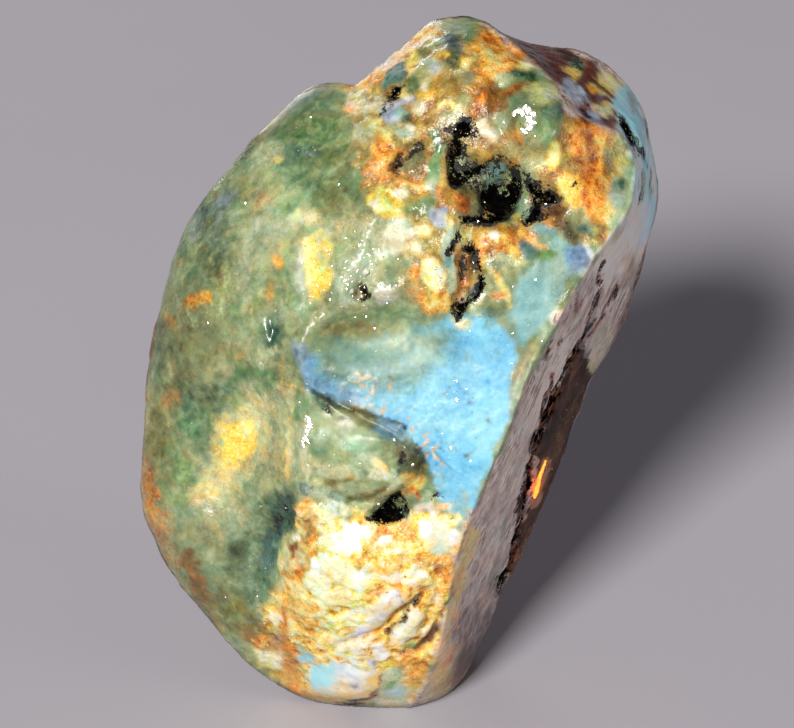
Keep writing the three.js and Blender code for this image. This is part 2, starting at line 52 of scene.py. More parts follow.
OUT = [(450,20,3.0),(466,17.5,3.0),(480,19,3.0),(492,24,2.6),(508,33,1.6),(525,39,1.0),(540,43,0.6),(556,46,0.2),(572,47,0),(586,51,-.3),(601,59,-.6),(615,68,-.8),(627,80,-1.2),(636,95,-1.6),(643,111,-2),(649,130,-2.4),(653,150,-2.8),(656,170,-3.2),(657.5,190,-3.6),(656,210,-4),(651,231,-4.4),(645,251,-4.8),(638,271,-5.2),(630,291,-5.6),(621,316,-6),(611,340,-6.4),(600,364,-6.8),(589,385,-7.1),(579,408,-7.4),(569,435,-7.7),(560,464,-8.0),(549,492,-8.3),(539,517,-8.6),(528,543,-8.9),(516,568,-9.1),(503,594,-9.1),(492,620,-9.0),(480,648,-8.6),(466,675,-7.9),(449,694,-7.1),(430,705,-6.7),(405,710.5,-6.5),(380,711,-6.4),(345,708.5,-6.4),(322,704,-6.3),(300,697,-6.2),(283,689,-6.1),(262,677,-5.9),(243,661,-5.6),(228,642,-5.3),(214,621,-5.0),(200,604,-4.7),(187,589,-4.4),(177,574,-4.1),(167,559,-3.8),(158,543,-3.5),(151,528,-3.2),(145,513,-2.9),(142,498,-2.7),(141,484,-2.5),(142,469,-2.2),(143.5,440,-1.7),(146,410,-1.2),(149,380,-.7),(154,357,-.3),(158,330,.1),(161,305,.4),(165,285,.6),(171,263,.8),(178,245,1),(184,229,1.2),(192,214,1.3),(201,200,1.4),(212,185,1.5),(226,170,1.6),(239,154,1.7),(250,140,1.8),(264,125,1.9),(280,111,2.0),(292,101,2.1),(303,94,2.2),(315,88.5,2.2),(330,85,2.2),(343,84,2.3),(353,85.5,2.3),(361,81.5,2.4),(370,72,2.5),(384,59,2.6),(400,48,2.7),(415,35.5,2.9),(430,24.5,3),(441,20.5,3)]
ARR = [(484,19),(508,40),(532,58),(552,82),(566,106),(580,122),(604,126),(622,134),(630,152),(632,178),(630,205),(617,228),(602,246),(588,266),(573,292),(560,316),(546,340),(532,366),(522,394),(508,432),(492,468),(478,498),(466,524),(457,552),(449,586),(444,622),(436,656),(424,684),(408,705)]
PROF = [(0,4.6),(20,5.6),(50,7.2),(100,9.0),(150,9.9),(200,10.3),(250,10.3),(300,10.0),(350,9.4),(400,8.7),(450,7.9),(500,6.8),(550,5.2),(600,3.2),(640,1.2),(670,-0.8),(690,-2.6),(705,-4.4),(720,-6.0)]
CTRL = [
 (345,115,-3.6),(300,130,-4.4),(260,170,-5.2),(220,220,-5.8),(330,165,-2.6),(290,190,-3.2),(250,240,-3.8),(210,290,-4.8),(180,340,-6.0),
 (300,250,-1.9),(340,220,-1.2),(380,190,-.6),(385,250,0),(345,290,-.6),(300,330,-.8),(250,320,-2.6),(200,380,-5.2),(162,430,-7.6),
 (235,440,-3.9),(235,390,-3.8),(205,440,-4.8),(225,500,-4.8),(265,420,-2.8),(290,380,-.8),(302,430,-.2),(296,490,-.4),(280,530,-2.4),(262,560,-3.2),(245,520,-4.0),
 (200,520,-5.0),(205,570,-5.0),(240,610,-4.2),(270,640,-3.2),(300,670,-2.6),
 (330,400,-.3),(370,440,.2),(400,470,.2),(360,340,-.7),(410,330,-.5),(440,360,.2),(480,380,.5),(500,330,.2),(530,290,0),(450,300,.0),(450,420,.4),(450,480,.4),(480,440,.5),(520,350,.1),
 (390,520,-.4),(350,520,.2),(310,560,.0),(350,580,1.2),(400,560,1.2),(430,540,.8),(430,600,.8),(390,620,1.2),(340,630,1.0),(300,620,-.6),(350,670,.4),(400,660,.6),(425,650,.2),(380,695,.2),(330,690,-.6),
 (420,150,-.7),(400,110,-1.2),(375,100,-2.2),(370,130,-1.6),(420,70,-.8),(450,50,-.1),(480,50,.0),(450,90,.0),(490,80,.2),(530,80,-.2),(500,120,.2),(540,120,.8),(560,150,.4),(550,180,-.2),(590,160,-.9),(600,200,-1.1),(625,170,-1.8),(580,230,-.5),(560,250,-.2),
 (495,190,-.8),(470,170,-.6),(460,220,-.2),(500,240,.0),(470,260,.0),(430,220,.2),(430,270,.3),
]
BACKF = [(470,40,-1.5),(420,90,-3.6),(560,90,-5.4),(330,130,-2.6),(500,160,-8.2),(600,180,-8.8),(380,200,-7.2),(260,200,-3.4),(560,280,-11.6),(440,280,-11.4),(300,300,-8.2),(200,300,-4.4),(520,380,-13.6),(400,380,-13.6),(280,400,-10.6),(190,420,-6.8),(500,480,-15.2),(380,480,-15.2),(260,500,-11.6),(190,520,-8.0),(470,580,-15.8),(380,580,-16.2),(290,590,-13.4),(220,600,-9.6),(430,650,-15.0),(340,650,-14.6),(280,660,-11.5)]
RELIEF = [
 ("b",238,445,50,70,20,-1.3,1.3),("b",197,418,20,28,10,-.5,1),
 ("b",315,270,13,30,0,-.35,1.2),("b",276,330,9,20,0,-.6,1),
 ("l",[(394,182),(374,222),(353,262),(333,305),(303,340),(285,352)],11,.5),
 ("l",[(300,362),(306,400),(309,440),(303,490),(292,560)],9,.35),
 ("b",362,291,8,10,0,-.9,1.5),("l",[(368,293),(403,291)],4,.35),
 ("b",372,332,56,27,-5,-.7,1.5),("b",462,372,70,46,-30,-.45,1.2),
 ("s",[(286,384),(318,395),(350,410),(378,425),(400,440),(425,452),(442,462)],2.5,26,.35),
 ("l",[(330,400),(352,411),(378,426),(402,442),(425,455)],3,-.35),
 ("b",366,461,50,32,14,.8,2.0),("l",[(312,480),(330,494),(352,503),(378,504),(402,495),(418,478),(424,460)],4.5,-.55),
 ("b",389,510,17,8,-12,-1.0,1.5),
 ("b",264,548,24,42,10,-1.1,1.3),
 ("l",[(441,572),(433,600),(420,626)],5,-.5),("l",[(405,556),(398,590),(405,620),(394,646)],5,-.35),("b",402,600,16,22,0,.3,1),
 ("l",[(352,560),(340,600),(352,640),(344,680)],6,-.25),
 ("b",346,99,16,13,0,-.5,1),("l",[(360,80),(372,92),(390,92),(407,99)],7,-.9),
 ("b",460,50,36,26,0,.4,1.3),("b",541,119,34,34,0,1.0,1.6),("l",[(500,92),(497,122),(510,150),(540,160),(570,150)],6,-.45),
 ("b",500,187,30,24,25,-1.2,1.4),("b",468,162,20,18,0,-.6,1.2),("b",541,203,24,11,-20,-.6,1.2),
 ("l",[(472,222),(463,255),(466,285),(458,312)],7,-.5),("l",[(394,166),(408,150),(428,141)],3.5,-.45),
 ("b",420,62,18,16,0,-.4,1),("b",585,185,26,22,0,.3,1),
]
CHIPS = [
 # x, y, z (mm), radius, depth
 (11.5,2.5,30,6.5,.7),(12.5,-3.0,24,5.0,.55),(8.5,4,12,6.0,.6),(6.0,-4.5,9,4.0,.45),(13.5,6.5,37,5.0,.6),
 (2.0,13.0,24,8.5,1.1),(-7.0,11.0,31,7.0,.9),(7.5,12.0,36,6.5,.9),(-10,8.0,20,6.5,.8),(-3.0,9.5,10,6.5,.9),(6.0,10.5,14,5.5,.7),(-14.5,2.5,26,5.0,.6),(-12.0,1.5,11,5.0,.7),(-5.0,8.5,41,4.0,.5),(0.5,-1.5,5,0.1,0.0),
]
# ---------------------------------------------------------------- small mathematics
def smooth(t):
    t = np.clip(t, 0.0, 1.0)
    return t * t * (3.0 - 2.0 * t)


def cut_corners(rows, times, closed):
    P = np.asarray(rows, float)
    for _ in range(times):
        A, B = (P, np.roll(P, -1, 0)) if closed else (P[:-1], P[1:])
        Q = np.stack([A * .75 + B * .25, A * .25 + B * .75], 1).reshape(-1, P.shape[1])
        P = Q if closed else np.vstack([P[:1], Q, P[-1:]])
    return P


class Sheet:
    """A smooth sheet through scattered heights."""
    def __init__(self, rows, soft, slack):
        R = np.asarray(rows, float)
        self.p, self.soft, n = R[:, :2], soft, len(R)
        d = np.sqrt(((self.p[:, None] - self.p[None]) ** 2).sum(-1) + soft * soft)
        A = np.zeros((n + 3, n + 3))
        A[:n, :n] = -d + np.eye(n) * slack
        side = np.c_[np.ones(n), self.p]
        A[:n, n:], A[n:, :n] = side, side.T
        self.w = np.linalg.solve(A, np.r_[R[:, 2], 0, 0, 0])

    def __call__(self, q):
        out = np.empty(len(q))
        for i in range(0, len(q), 20000):
            b = q[i:i + 20000]
            d = np.sqrt(((b[:, None] - self.p[None]) ** 2).sum(-1) + self.soft ** 2)
            out[i:i + 20000] = -(d @ self.w[:-3]) + self.w[-3] + b @ self.w[-2:]
        return out


def midline(y):
    xs, ys = np.array(PROF, float).T
    y = np.clip(y, xs[0], xs[-1])
    i = np.clip(np.searchsorted(xs, y) - 1, 0, len(xs) - 2)
    m = np.gradient(ys, xs)
    h = xs[i + 1] - xs[i]
    t = (y - xs[i]) / h
    return ((2 * t ** 3 - 3 * t ** 2 + 1) * ys[i] + (t ** 3 - 2 * t ** 2 + t) * h * m[i]
            + (3 * t ** 2 - 2 * t ** 3) * ys[i + 1] + (t ** 3 - t ** 2) * h * m[i + 1])


def nearest(q, chain, values, closed):
    """Distance to a chain (inside is positive if closed; right of it is positive if open) and its value there."""
    A, B = (chain, np.roll(chain, -1, 0)) if closed else (chain[:-1], chain[1:])
    va, vb = (values, np.roll(values, -1)) if closed else (values[:-1], values[1:])
    best = np.full(len(q), 1e18)
    val, side, odd = np.zeros(len(q)), np.zeros(len(q)), np.zeros(len(q), bool)
    for i in range(len(A)):
        dx, dy = B[i] - A[i]
        ex, ey = q[:, 0] - A[i][0], q[:, 1] - A[i][1]
        t = np.clip((ex * dx + ey * dy) / (dx * dx + dy * dy + 1e-12), 0, 1)
        d = (ex - t * dx) ** 2 + (ey - t * dy) ** 2
        m = d < best
        best = np.where(m, d, best)
        val = np.where(m, va[i] * (1 - t) + vb[i] * t, val)
        if closed:
            odd ^= ((A[i][1] > q[:, 1]) != (B[i][1] > q[:, 1])) & (ex < ey * dx / (dy if abs(dy) > 1e-9 else 1e-9))
        else:
            side = np.where(m, dx * ey - dy * ex, side)
    best = np.sqrt(best)
    return (np.where(odd, best, -best) if closed else np.where(side > 0, -best, best)), val


def to_line(q, pts):
    P = np.asarray(pts, float)
    best, side, along = np.full(len(q), 1e18), np.zeros(len(q)), np.zeros(len(q))
    for i in range(len(P) - 1):
        d = P[i + 1] - P[i]
        e = q - P[i]
        t = np.clip(e @ d / (d @ d), 0, 1)
        dd = ((e - t[:, None] * d) ** 2).sum(1)
        m = dd < best
        best = np.where(m, dd, best)
        side = np.where(m, d[0] * e[:, 1] - d[1] * e[:, 0], side)
        along = np.where(m, (i + t) / (len(P) - 1), along)
    return np.sqrt(best), side, along


# ---- noise that is the same on every run
def lattice(c, seed=0):
    i, j, k = (c[:, n].astype(np.int64).astype(np.uint32) for n in range(3))
    h = (i * np.uint32(374761393)) ^ (j * np.uint32(668265263)) ^ (k * np.uint32(1440662683)) ^ np.uint32((seed * 2654435761) & 0xffffffff)
    h = (h ^ (h >> np.uint32(13))) * np.uint32(1274126177)
    h = h ^ (h >> np.uint32(16))
    if seed:
        h = (h ^ (h >> np.uint32(15))) * np.uint32(2246822519)
        h = h ^ (h >> np.uint32(13))
    return h.astype(np.float64) / 2147483647.5 - 1


def waves(p, size, off=(0, 0, 0), seed=0):
    q = p / size + np.asarray(off, float)
    b = np.floor(q)
    f = q - b
    e = f * f * f * (f * (f * 6 - 15) + 10)
    v = np.zeros(len(p))
    for n in range(8):
        o = np.array([n & 1, (n >> 1) & 1, n >> 2])
        v += lattice(b + o, seed) * np.prod(np.where(o, e, 1 - e), 1)
    return v


def fbm(p, size, octaves=3, seed=1, gain=.5):
    v, a, s = np.zeros(len(p)), 1.0, 0.0
    for n in range(octaves):
        v += a * waves(p, size / 2 ** n, (n * 17.3, n * 5.1, n * 9.7), seed + n)
        s += a
        a *= gain
    return v / s * 1.7


def cells(p, size, seed):
    """Distance to the nearest and second nearest of scattered points, and a number for the nearest."""
    q = p / size
    b = np.floor(q)
    f1, f2, ident = np.full(len(p), 9.0), np.full(len(p), 9.0), np.zeros(len(p))
    for i in (-1, 0, 1):
        for j in (-1, 0, 1):
            for k in (-1, 0, 1):
                c = b + (i, j, k)
                pt = c + .5 + .45 * np.stack([lattice(c, seed), lattice(c, seed + 1), lattice(c, seed + 2)], 1)
                d = np.sqrt(((q - pt) ** 2).sum(1))
                m = d < f1
                f2 = np.where(m, f1, np.minimum(f2, d))
                ident = np.where(m, lattice(c, seed + 3), ident)
                f1 = np.where(m, d, f1)
    return f1, f2, ident * .5 + .5


# ---------------------------------------------------------------- the form of the lump
OUTS = cut_corners(OUT, 2, True)
ARRS = cut_corners(ARR, 2, False)
front_sheet, rear_sheet = Sheet(CTRL, 12.0, 2.0), Sheet(BACKF, 20.0, 4.0)
FRONT_ROUND, REAR_ROUND = 2.4, 6.5


def broad(q):
    return midline(q[:, 1]) + front_sheet(q)


ARRF = broad(ARRS)
GX0, GY0, GSTEP = 110.0, -10.0, 1.25


def make_grids():
    xs, ys = np.arange(GX0, 690, GSTEP), np.arange(GY0, 740, GSTEP)
    XX, YY = np.meshgrid(xs, ys)
    q = np.c_[XX.ravel(), YY.ravel()]
    s, fo = nearest(q, OUTS[:, :2], OUTS[:, 2], True)
    side, fa = nearest(q, ARRS, ARRF, False)
    s, side = s / UNIT, side / UNIT
    t = np.clip(s / FRONT_ROUND, 0, 1)
    face = fo + (broad(q) - fo) * np.sqrt(np.clip(1 - (1 - t) ** 2, 0, 1))
    w = np.clip(side / (side + np.maximum(s, 0) + 1e-6), 0, 1)
    flank = fa + (fo - fa) * w ** 1.12
    F = np.where(side > 0, flank, face)
    tb = np.clip(s / REAR_ROUND, 0, 1)
    B = fo + (np.minimum(rear_sheet(q), fo - .3) - fo) * (1 - (1 - tb) ** 2.2) ** .62
    F, B = np.where(s < 0, fo + s * 6, F), np.where(s < 0, fo - s * 6, B)
    shape = (len(ys), len(xs))
    return [g.reshape(shape) for g in (F, B, s, side, fo)]


GRIDS = make_grids()


def look(n, q):
    G = GRIDS[n]
    i = np.clip((q[:, 0] - GX0) / GSTEP, 0, G.shape[1] - 1.001)
    j = np.clip((q[:, 1] - GY0) / GSTEP, 0, G.shape[0] - 1.001)
    a, b = i.astype(int), j.astype(int)
    u, v = i - a, j - b
    return (G[b, a] * (1 - u) + G[b, a + 1] * u) * (1 - v) + (G[b + 1, a] * (1 - u) + G[b + 1, a + 1] * u) * v


def to_space(v):
    return np.array([0, 0, Z0]) + v[:, 0:1] * RIGHT + v[:, 1:2] * UP + v[:, 2:3] * BACK


def to_view(p):
    d = p - np.array([0, 0, Z0])
    return np.c_[d @ RIGHT, d @ UP, d @ BACK]


def to_plane(v):
    k = EYE / (EYE - v[:, 2])
    return np.c_[CX + v[:, 0] * k * UNIT, CY - v[:, 1] * k * UNIT]


def geodesic(f):
    g = (1 + 5 ** .5) / 2
    V = np.array([(-1, g, 0), (1, g, 0), (-1, -g, 0), (1, -g, 0), (0, -1, g), (0, 1, g), (0, -1, -g), (0, 1, -g),
                  (g, 0, -1), (g, 0, 1), (-g, 0, -1), (-g, 0, 1)], float)
    F = [(0, 11, 5), (0, 5, 1), (0, 1, 7), (0, 7, 10), (0, 10, 11), (1, 5, 9), (5, 11, 4), (11, 10, 2), (10, 7, 6),
         (7, 1, 8), (3, 9, 4), (3, 4, 2), (3, 2, 6), (3, 6, 8), (3, 8, 9), (4, 9, 5), (2, 4, 11), (6, 2, 10), (8, 6, 7), (9, 8, 1)]
    I, J = np.meshgrid(np.arange(f + 1), np.arange(f + 1), indexing="ij")
    m = I + J <= f
    I, J = I[m], J[m]
    num = np.full((f + 1, f + 1), -1)
    num[I, J] = np.arange(len(I))
    a = [(i, j) for i in range(f) for j in range(f - i)]
    A = np.array(a)
    t1 = np.stack([num[A[:, 0], A[:, 1]], num[A[:, 0] + 1, A[:, 1]], num[A[:, 0], A[:, 1] + 1]], 1)
    B = A[A.sum(1) < f - 1]
    t2 = np.stack([num[B[:, 0] + 1, B[:, 1]], num[B[:, 0] + 1, B[:, 1] + 1], num[B[:, 0], B[:, 1] + 1]], 1)
    T0 = np.vstack([t1, t2])
    pts, tri = [], []
    for n, (x, y, z) in enumerate(F):
        pts.append((V[x] * I[:, None] + V[y] * J[:, None] + V[z] * (f - I - J)[:, None]) / f)
        tri.append(T0 + n * len(I))
    P, T = np.vstack(pts), np.vstack(tri)
    key = np.round(P * 1e6).astype(np.int64)
    _, first, inv = np.unique(key, axis=0, return_index=True, return_inverse=True)
    P, T = P[first], inv.ravel()[T]
    P /= np.linalg.norm(P, axis=1, keepdims=True)
    out = (np.cross(P[T[:, 1]] - P[T[:, 0]], P[T[:, 2]] - P[T[:, 0]]) * P[T[:, 0]]).sum(1) < 0
    T[out] = T[out][:, [0, 2, 1]]
    return P, T


def normals_of(P, T):
    n = np.zeros_like(P)
    fn = np.cross(P[T[:, 1]] - P[T[:, 0]], P[T[:, 2]] - P[T[:, 0]])
    for k in range(3):
        for a in range(3):
            n[:, a] += np.bincount(T[:, k], fn[:, a], len(P))
    return n / np.maximum(np.linalg.norm(n, axis=1, keepdims=True), 1e-12)


def edges_of(T):
    E = np.vstack([T[:, [0, 1]], T[:, [1, 2]], T[:, [2, 0]]])
    E = np.unique(np.sort(E, 1), axis=0)
    return np.vstack([E, E[:, ::-1]])


def ease(P, E, rounds, weight=None):
    deg = np.bincount(E[:, 0], minlength=len(P)).astype(float)
    for k in range(2 * rounds):
        L = np.stack([np.bincount(E[:, 0], P[E[:, 1], a], len(P)) / deg - P[:, a] for a in range(3)], 1)
        c = .5 if k % 2 == 0 else -.53
        P = P + L * (c if weight is None else (c * weight)[:, None])
    return P


def mean_round(x, E, rounds):
    deg = np.bincount(E[:, 0], minlength=len(x)).astype(float)
    for _ in range(rounds):
        x = .5 * x + .5 * np.bincount(E[:, 0], x[E[:, 1]], len(x)) / deg
    return x


CENTRE = np.array([0.0, -1.0, -2.0])


def rough_form(freq):
    dirs, T = geodesic(freq)
    d = np.c_[dirs @ RIGHT, dirs @ UP, dirs @ BACK]
    d = d * np.array([1.0, 1.18, .92])                       # even out the facets over the long lump
    d /= np.linalg.norm(d, axis=1, keepdims=True)
    th = np.arccos(np.clip(d[:, 2], -1, 1))                  # and draw some of them round to the broad face
    th2 = th - .2 * np.sin(th)
    k = np.sin(th2) / np.maximum(np.sin(th), 1e-9)
    d = np.c_[d[:, 0] * k, d[:, 1] * k, np.cos(th2)]

    def depth(v):
        q = to_plane(v)
        h = np.minimum(look(0, q) - v[:, 2], v[:, 2] - look(1, q))
        return np.minimum(np.minimum(h, look(2, q)), Z0 + v[:, 1] * cE + v[:, 2] * sE)

    lo, hi, found = np.zeros(len(d)), np.full(len(d), 40.0), np.zeros(len(d), bool)
    for t in np.arange(1.0, 40.0, .5):
        o = depth(CENTRE + d * t) < 0
        new = o & ~found
        hi[new], lo[new] = t, t - .5
        found |= new
        if found.all():
            break
    for _ in range(13):
        m = (lo + hi) / 2
        o = depth(CENTRE + d * m[:, None]) < 0
        hi, lo = np.where(o, m, hi), np.where(o, lo, m)
    return to_space(CENTRE + d * ((lo + hi) / 2)[:, None]), T


def relief(q):
    h = np.zeros(len(q))
    for R in RELIEF:
        if R[0] == "b":
            _, cx, cy, rx, ry, rot, a, p = R
            c, s = math.cos(math.radians(rot)), math.sin(math.radians(rot))
            x, y = q[:, 0] - cx, q[:, 1] - cy
            h += a * np.exp(-(((x * c + y * s) / rx) ** 2 + ((-x * s + y * c) / ry) ** 2) ** p)
        elif R[0] == "l":
            _, pts, w, a = R
            h += a * np.exp(-(to_line(q, pts)[0] / w) ** 2)
        else:
            _, pts, w, far, a = R
            d, sd, _al = to_line(q, pts)
            h += a * smooth(np.where(sd > 0, 1, -1) * d / w * .5 + .5) * np.exp(-(d / far) ** 2)
    return h


P, T = rough_form(99)
E = edges_of(T)
v = to_view(P)
q = to_plane(v)
edge = look(2, q)                                        # distance in from the outer edge
beyond = look(3, q)                                      # how far round the arris, on to the flank
f_edge = look(4, q)
is_front = smooth((v[:, 2] - f_edge) / .8)

# the broken face: knobs, pits and ledges, carved along the lines from the eye
wob = np.c_[fbm(P, 2.2, 3, 31), fbm(P, 2.2, 3, 41)] * 3.2   # a drawn line is never straight
h = relief(q + wob) * smooth(edge / 1.5) * smooth(-beyond / .8 + .2) * is_front
f2 = v[:, 2] + h
k = (EYE - f2) / (EYE - v[:, 2])
P = to_space(np.c_[v[:, 0] * k, v[:, 1] * k, f2])

# the worn skin: swells, and the chips broken out of it
N = normals_of(P, T)
behind = smooth(.5 - (N @ BACK) * 1.4)
low = smooth((P[:, 2] - .2) / 2.5)
h = (.5 * waves(P, 7.5) + .2 * waves(P, 3.4, (7, 0, 0))) * (.25 + .75 * behind)
for x, y, z, r, dep in CHIPS:
    d2 = ((P - np.array([x, y, z])) ** 2).sum(1)
    h -= dep * np.maximum(0, 1 - d2 / r ** 2) * behind
P = P + N * (h * low)[:, None]
P[P[:, 2] < .02, 2] = 0
P = ease(P, E, 1)
N = normals_of(P, T)
v = to_view(P)
q = to_plane(v)
P0 = P.copy()                                            # where colour and grain are laid out

# ---------------------------------------------------------------- what the skin is made of, place by place
KINDS = "G O D B T P Y R W K S F A N L E".split()
KI = {k: n for n, k in enumerate(KINDS)}
Wt = np.zeros((len(P), 16))
Wt[:, KI["S"]] = 1.0
N1, N2, N3 = fbm(P, 1.9, 4, 3, .6), fbm(P, .8, 3, 23, .6), fbm(P, 4.5, 3, 53)
g1, g2, gid = cells(P + .22 * np.stack([N2, N1, N3], 1), .62, 71)
m1, m2, mid = cells(P, .33, 91)
NZ = {"a": N1, "b": N2, "c": N3, "d": .5 * N1 + .5 * N2}
NF = fbm(P, .38, 2, 29)
NB = [fbm(P, 1.25, 4, 301 + 7 * n, .62) for n in range(4)]
warp = np.c_[fbm(P, 2.6, 3, 61), fbm(P, 2.6, 3, 67)]
Q_BROAD = q + warp * 7.0                                 # wandering boundaries
Q_CLOSE = q + np.c_[fbm(P, .9, 3, 441), fbm(P, .9, 3, 447)] * 2.4
Q = Q_BROAD
front_w = smooth((v[:, 2] - f_edge) / .8 + .35)


def field(shape):
    """1 deep inside the shape, 0 at its edge, negative outside."""
    if shape[0] == "e":
        _, cx, cy, rx, ry, rot = shape
        c, s = math.cos(math.radians(rot)), math.sin(math.radians(rot))
        x, y = Q[:, 0] - cx, Q[:, 1] - cy
        return 1 - np.sqrt(((x * c + y * s) / rx) ** 2 + ((-x * s + y * c) / ry) ** 2)
    if shape[0] == "l":
        _, pts, w = shape
        return 1 - to_line(Q, pts)[0] / w
    _, pts, w = shape                                    # a polygon, w units from edge to full strength
    C = cut_corners(pts, 2, True)
    return np.clip(nearest(Q, C, np.zeros(len(C)), True)[0] / w, -3, 1)


def lay(shape, mix, soft=.35, amp=.5, noise="a", strength=1.0, grains=False, where=None, rough=None, up=0.0):
    """Lays a mix of kinds over what is there. With grains the mix breaks up and the place is rough crust."""
    global lift
    if not (grains or "K" in mix) and Q is Q_BROAD:
        soft *= 1.6
    a = smooth(.5 + (field(shape) + amp * (.7 * NZ[noise] + .45 * NF)) / (2 * soft)) * strength
    if "K" in mix and mix["K"] > .5 and Q is Q_BROAD:    # soot lies in shreds
        a = a * (.30 + .70 * smooth((fbm(P, .75, 3, 401, .65) + .42) / .3))
    a = a * (front_w if where is None else where)
    cover(a, mix, grains, rough)
    if up:
        lift = lift + up * a


def pat(kind, geo, mix, up=0.0, rough=None, soft=.34, amp=.6, strength=.86):
    """A small place on the broken face, kept close to where it is drawn."""
    lay((kind, *geo), mix, soft, amp, "b", strength, False, face_w, rough, up)


def cover(a, mix, grains=False, rough=None):
    global Wt, gritty
    names, parts = list(mix), np.array(list(mix.values()), float)
    new = np.zeros_like(Wt)
    for n, (name, part) in enumerate(zip(names, parts)):
        new[:, KI[name]] = part * (np.exp(1.2 * NB[n % 4]) if grains else np.exp(.6 * NB[(n + 2) % 4]))
    new /= new.sum(1, keepdims=True)
    Wt = Wt * (1 - a)[:, None] + new * a[:, None]
    gritty = gritty + a * ((rough if rough is not None else 1.0 if grains else .3 if "K" not in mix else 0.0) - gritty)


gritty, lift = np.zeros(len(P)), np.zeros(len(P))


def tone(cx, cy, rx, ry, rot, amount, p=1.2):
    """Lightens or darkens the tones of whatever is there."""
    global lift
    c, s = math.cos(math.radians(rot)), math.sin(math.radians(rot))
    x, y = Q[:, 0] - cx, Q[:, 1] - cy
    lift = lift + amount * np.exp(-(((x * c + y * s) / rx) ** 2 + ((-x * s + y * c) / ry) ** 2) ** p) * front_w


DOMES = [(524, 121, 12, 14, .42), (547, 92, 10, 12, .15), (390, 95, 8, 5, -.2)]
SWELLS = [(272, 338, 10, 18, 0, .20), (640, 150, 9, 52, 0, .24), (342, 688, 50, 20, -5, .55), (392, 602, 24, 12, -40, .42), (410, 630, 20, 10, -44, .38), (350, 560, 22, 18, 0, .28), (300, 610, 14, 30, 10, .22),
          (402, 612, 26, 3.5, -44, -.45), (432, 632, 24, 3.5, -62, -.35), (362, 640, 30, 4, -20, -.30), (388, 545, 18, 12, 0, .22), (430, 560, 12, 16, 0, .18),
          (455, 168, 5, 22, 0, -.30), (498, 198, 15, 17, 0, -.30), (480, 152, 12, 6, 25, .32), (382, 150, 12, 16, 10, .25), (388, 208, 16, 10, 10, .25),
          (432, 284, 10, 26, -8, .30), (554, 155, 8, 12, 10, .25), (570, 188, 13, 14, -20, .3), (496, 240, 24, 10, 8, .22), (362, 264, 34, 12, -12, .22)]
# the whole broken face is green glass to begin with; the flank beyond the arris keeps its rind
rim_d = beyond + .40 * fbm(P, 1.3, 3, 431) + .14 * NF      # the arris is worn, and wanders
face_w = front_w * smooth(.5 - rim_d / .35)
cover(face_w, {"G": 1})
F_ = dict(where=face_w)
lay(("e", 215, 330, 110, 260, 8), {"G": .62, "P": .25, "O": .13}, .6, .5, "c", .8, **F_)
lay(("e", 330, 250, 90, 90, 0), {"G": .45, "O": .3, "P": .25}, .5, .6, "a", .8, **F_)
lay(("e", 190, 200, 60, 75, -35), {"G": .5, "P": .35, "D": .15}, .5, .5, "a", .8, **F_)

cover(face_w * smooth((fbm(P, 1.5, 4, 211, .6) - .10) / .3) * smooth(field(("e", 250, 330, 150, 300, 8)) * 3) * .55, {"E": .6, "G": .3, "D": .1})
cover(face_w * smooth((fbm(P, 1.2, 4, 221, .6) - .34) / .2) * smooth(field(("e", 260, 330, 150, 300, 8)) * 3) * .6, {"P": .55, "O": .2, "Y": .25})
cover(face_w * smooth((fbm(P, .7, 3, 223, .6) - .62) / .12) * smooth(field(("e", 240, 360, 130, 300, 8)) * 3) * .6, {"R": .5, "Y": .3, "O": .2})
# left flank of the face
lay(("e", 303, 158, 40, 48, 0), {"D": .46, "E": .24, "G": .3}, .35, .7, "a", .9, **F_)
lay(("e", 338, 168, 26, 30, 0), {"O": .5, "G": .35, "E": .15}, .4, .6, "a", .8, **F_)
lay(("e", 308, 147, 12, 5, 0), {"L": .4, "D": .6}, .4, .4, "b", .8, **F_)
lay(("e", 265, 152, 14, 13, 0), {"P": .9, "G": .1}, .4, .8, "b", .8, **F_)
lay(("e", 276, 161, 8, 5, 0), {"Y": .5, "P": .5}, .3, .5, "b", .9, **F_)
lay(("e", 268, 196, 13, 10, -10), {"O": .3, "R": .5, "P": .2}, .4, .8, "b", .9, **F_)
lay(("e", 301, 215, 13, 6, -15), {"Y": .4, "P": .6}, .35, .6, "b", .8, **F_)
lay(("l", [(222, 196), (204, 212), (192, 232)], 7), {"L": .7, "P": .3}, .35, .6, "b", .75, **F_)
lay(("l", [(212, 394), (236, 380), (266, 378), (284, 392)], 5), {"E": .7, "G": .2, "D": .1}, .35, .8, "b", .8, **F_)
lay(("l", [(232, 186), (218, 204), (212, 236)], 5), {"L": .8, "P": .2}, .3, .6, "b", .7, **F_)
lay(("a", [(298, 234), (320, 232), (330, 250), (330, 282), (320, 303), (311, 300), (306, 270)], 7), {"Y": .9, "W": .1}, .35, .7, "b", 1, **F_)
lay(("e", 336, 260, 9, 14, 0), {"E": .8, "G": .2}, .4, .6, "b", .85, **F_)
lay(("e", 280, 262, 5, 9, 0), {"R": .8, "Y": .2}, .3, .5, "b", .9, **F_)
lay(("e", 268, 297, 6, 13, 0), {"R": .45, "Y": .25, "O": .3}, .4, .6, "b", .8, **F_)
lay(("e", 197, 299, 10, 6, -40), {"R": .7, "Y": .3}, .35, .6, "b", .9, **F_)
lay(("e", 173, 320, 10, 8, -20), {"R": .75, "Y": .25}, .35, .6, "b", .9, **F_)
lay(("e", 222, 270, 10, 24, 0), {"O": .6, "P": .4}, .5, .9, "b", .6, **F_)
lay(("e", 240, 330, 50, 12, -25), {"P": .5, "G": .5}, .5, 1.0, "b", .6, **F_)
lay(("e", 175, 395, 18, 60, 0), {"O": .6, "G": .3, "R": .1}, .5, .8, "a", .8, **F_)
lay(("e", 273, 348, 9, 30, -4), {"D": 1}, .35, .5, "b", .95, **F_)
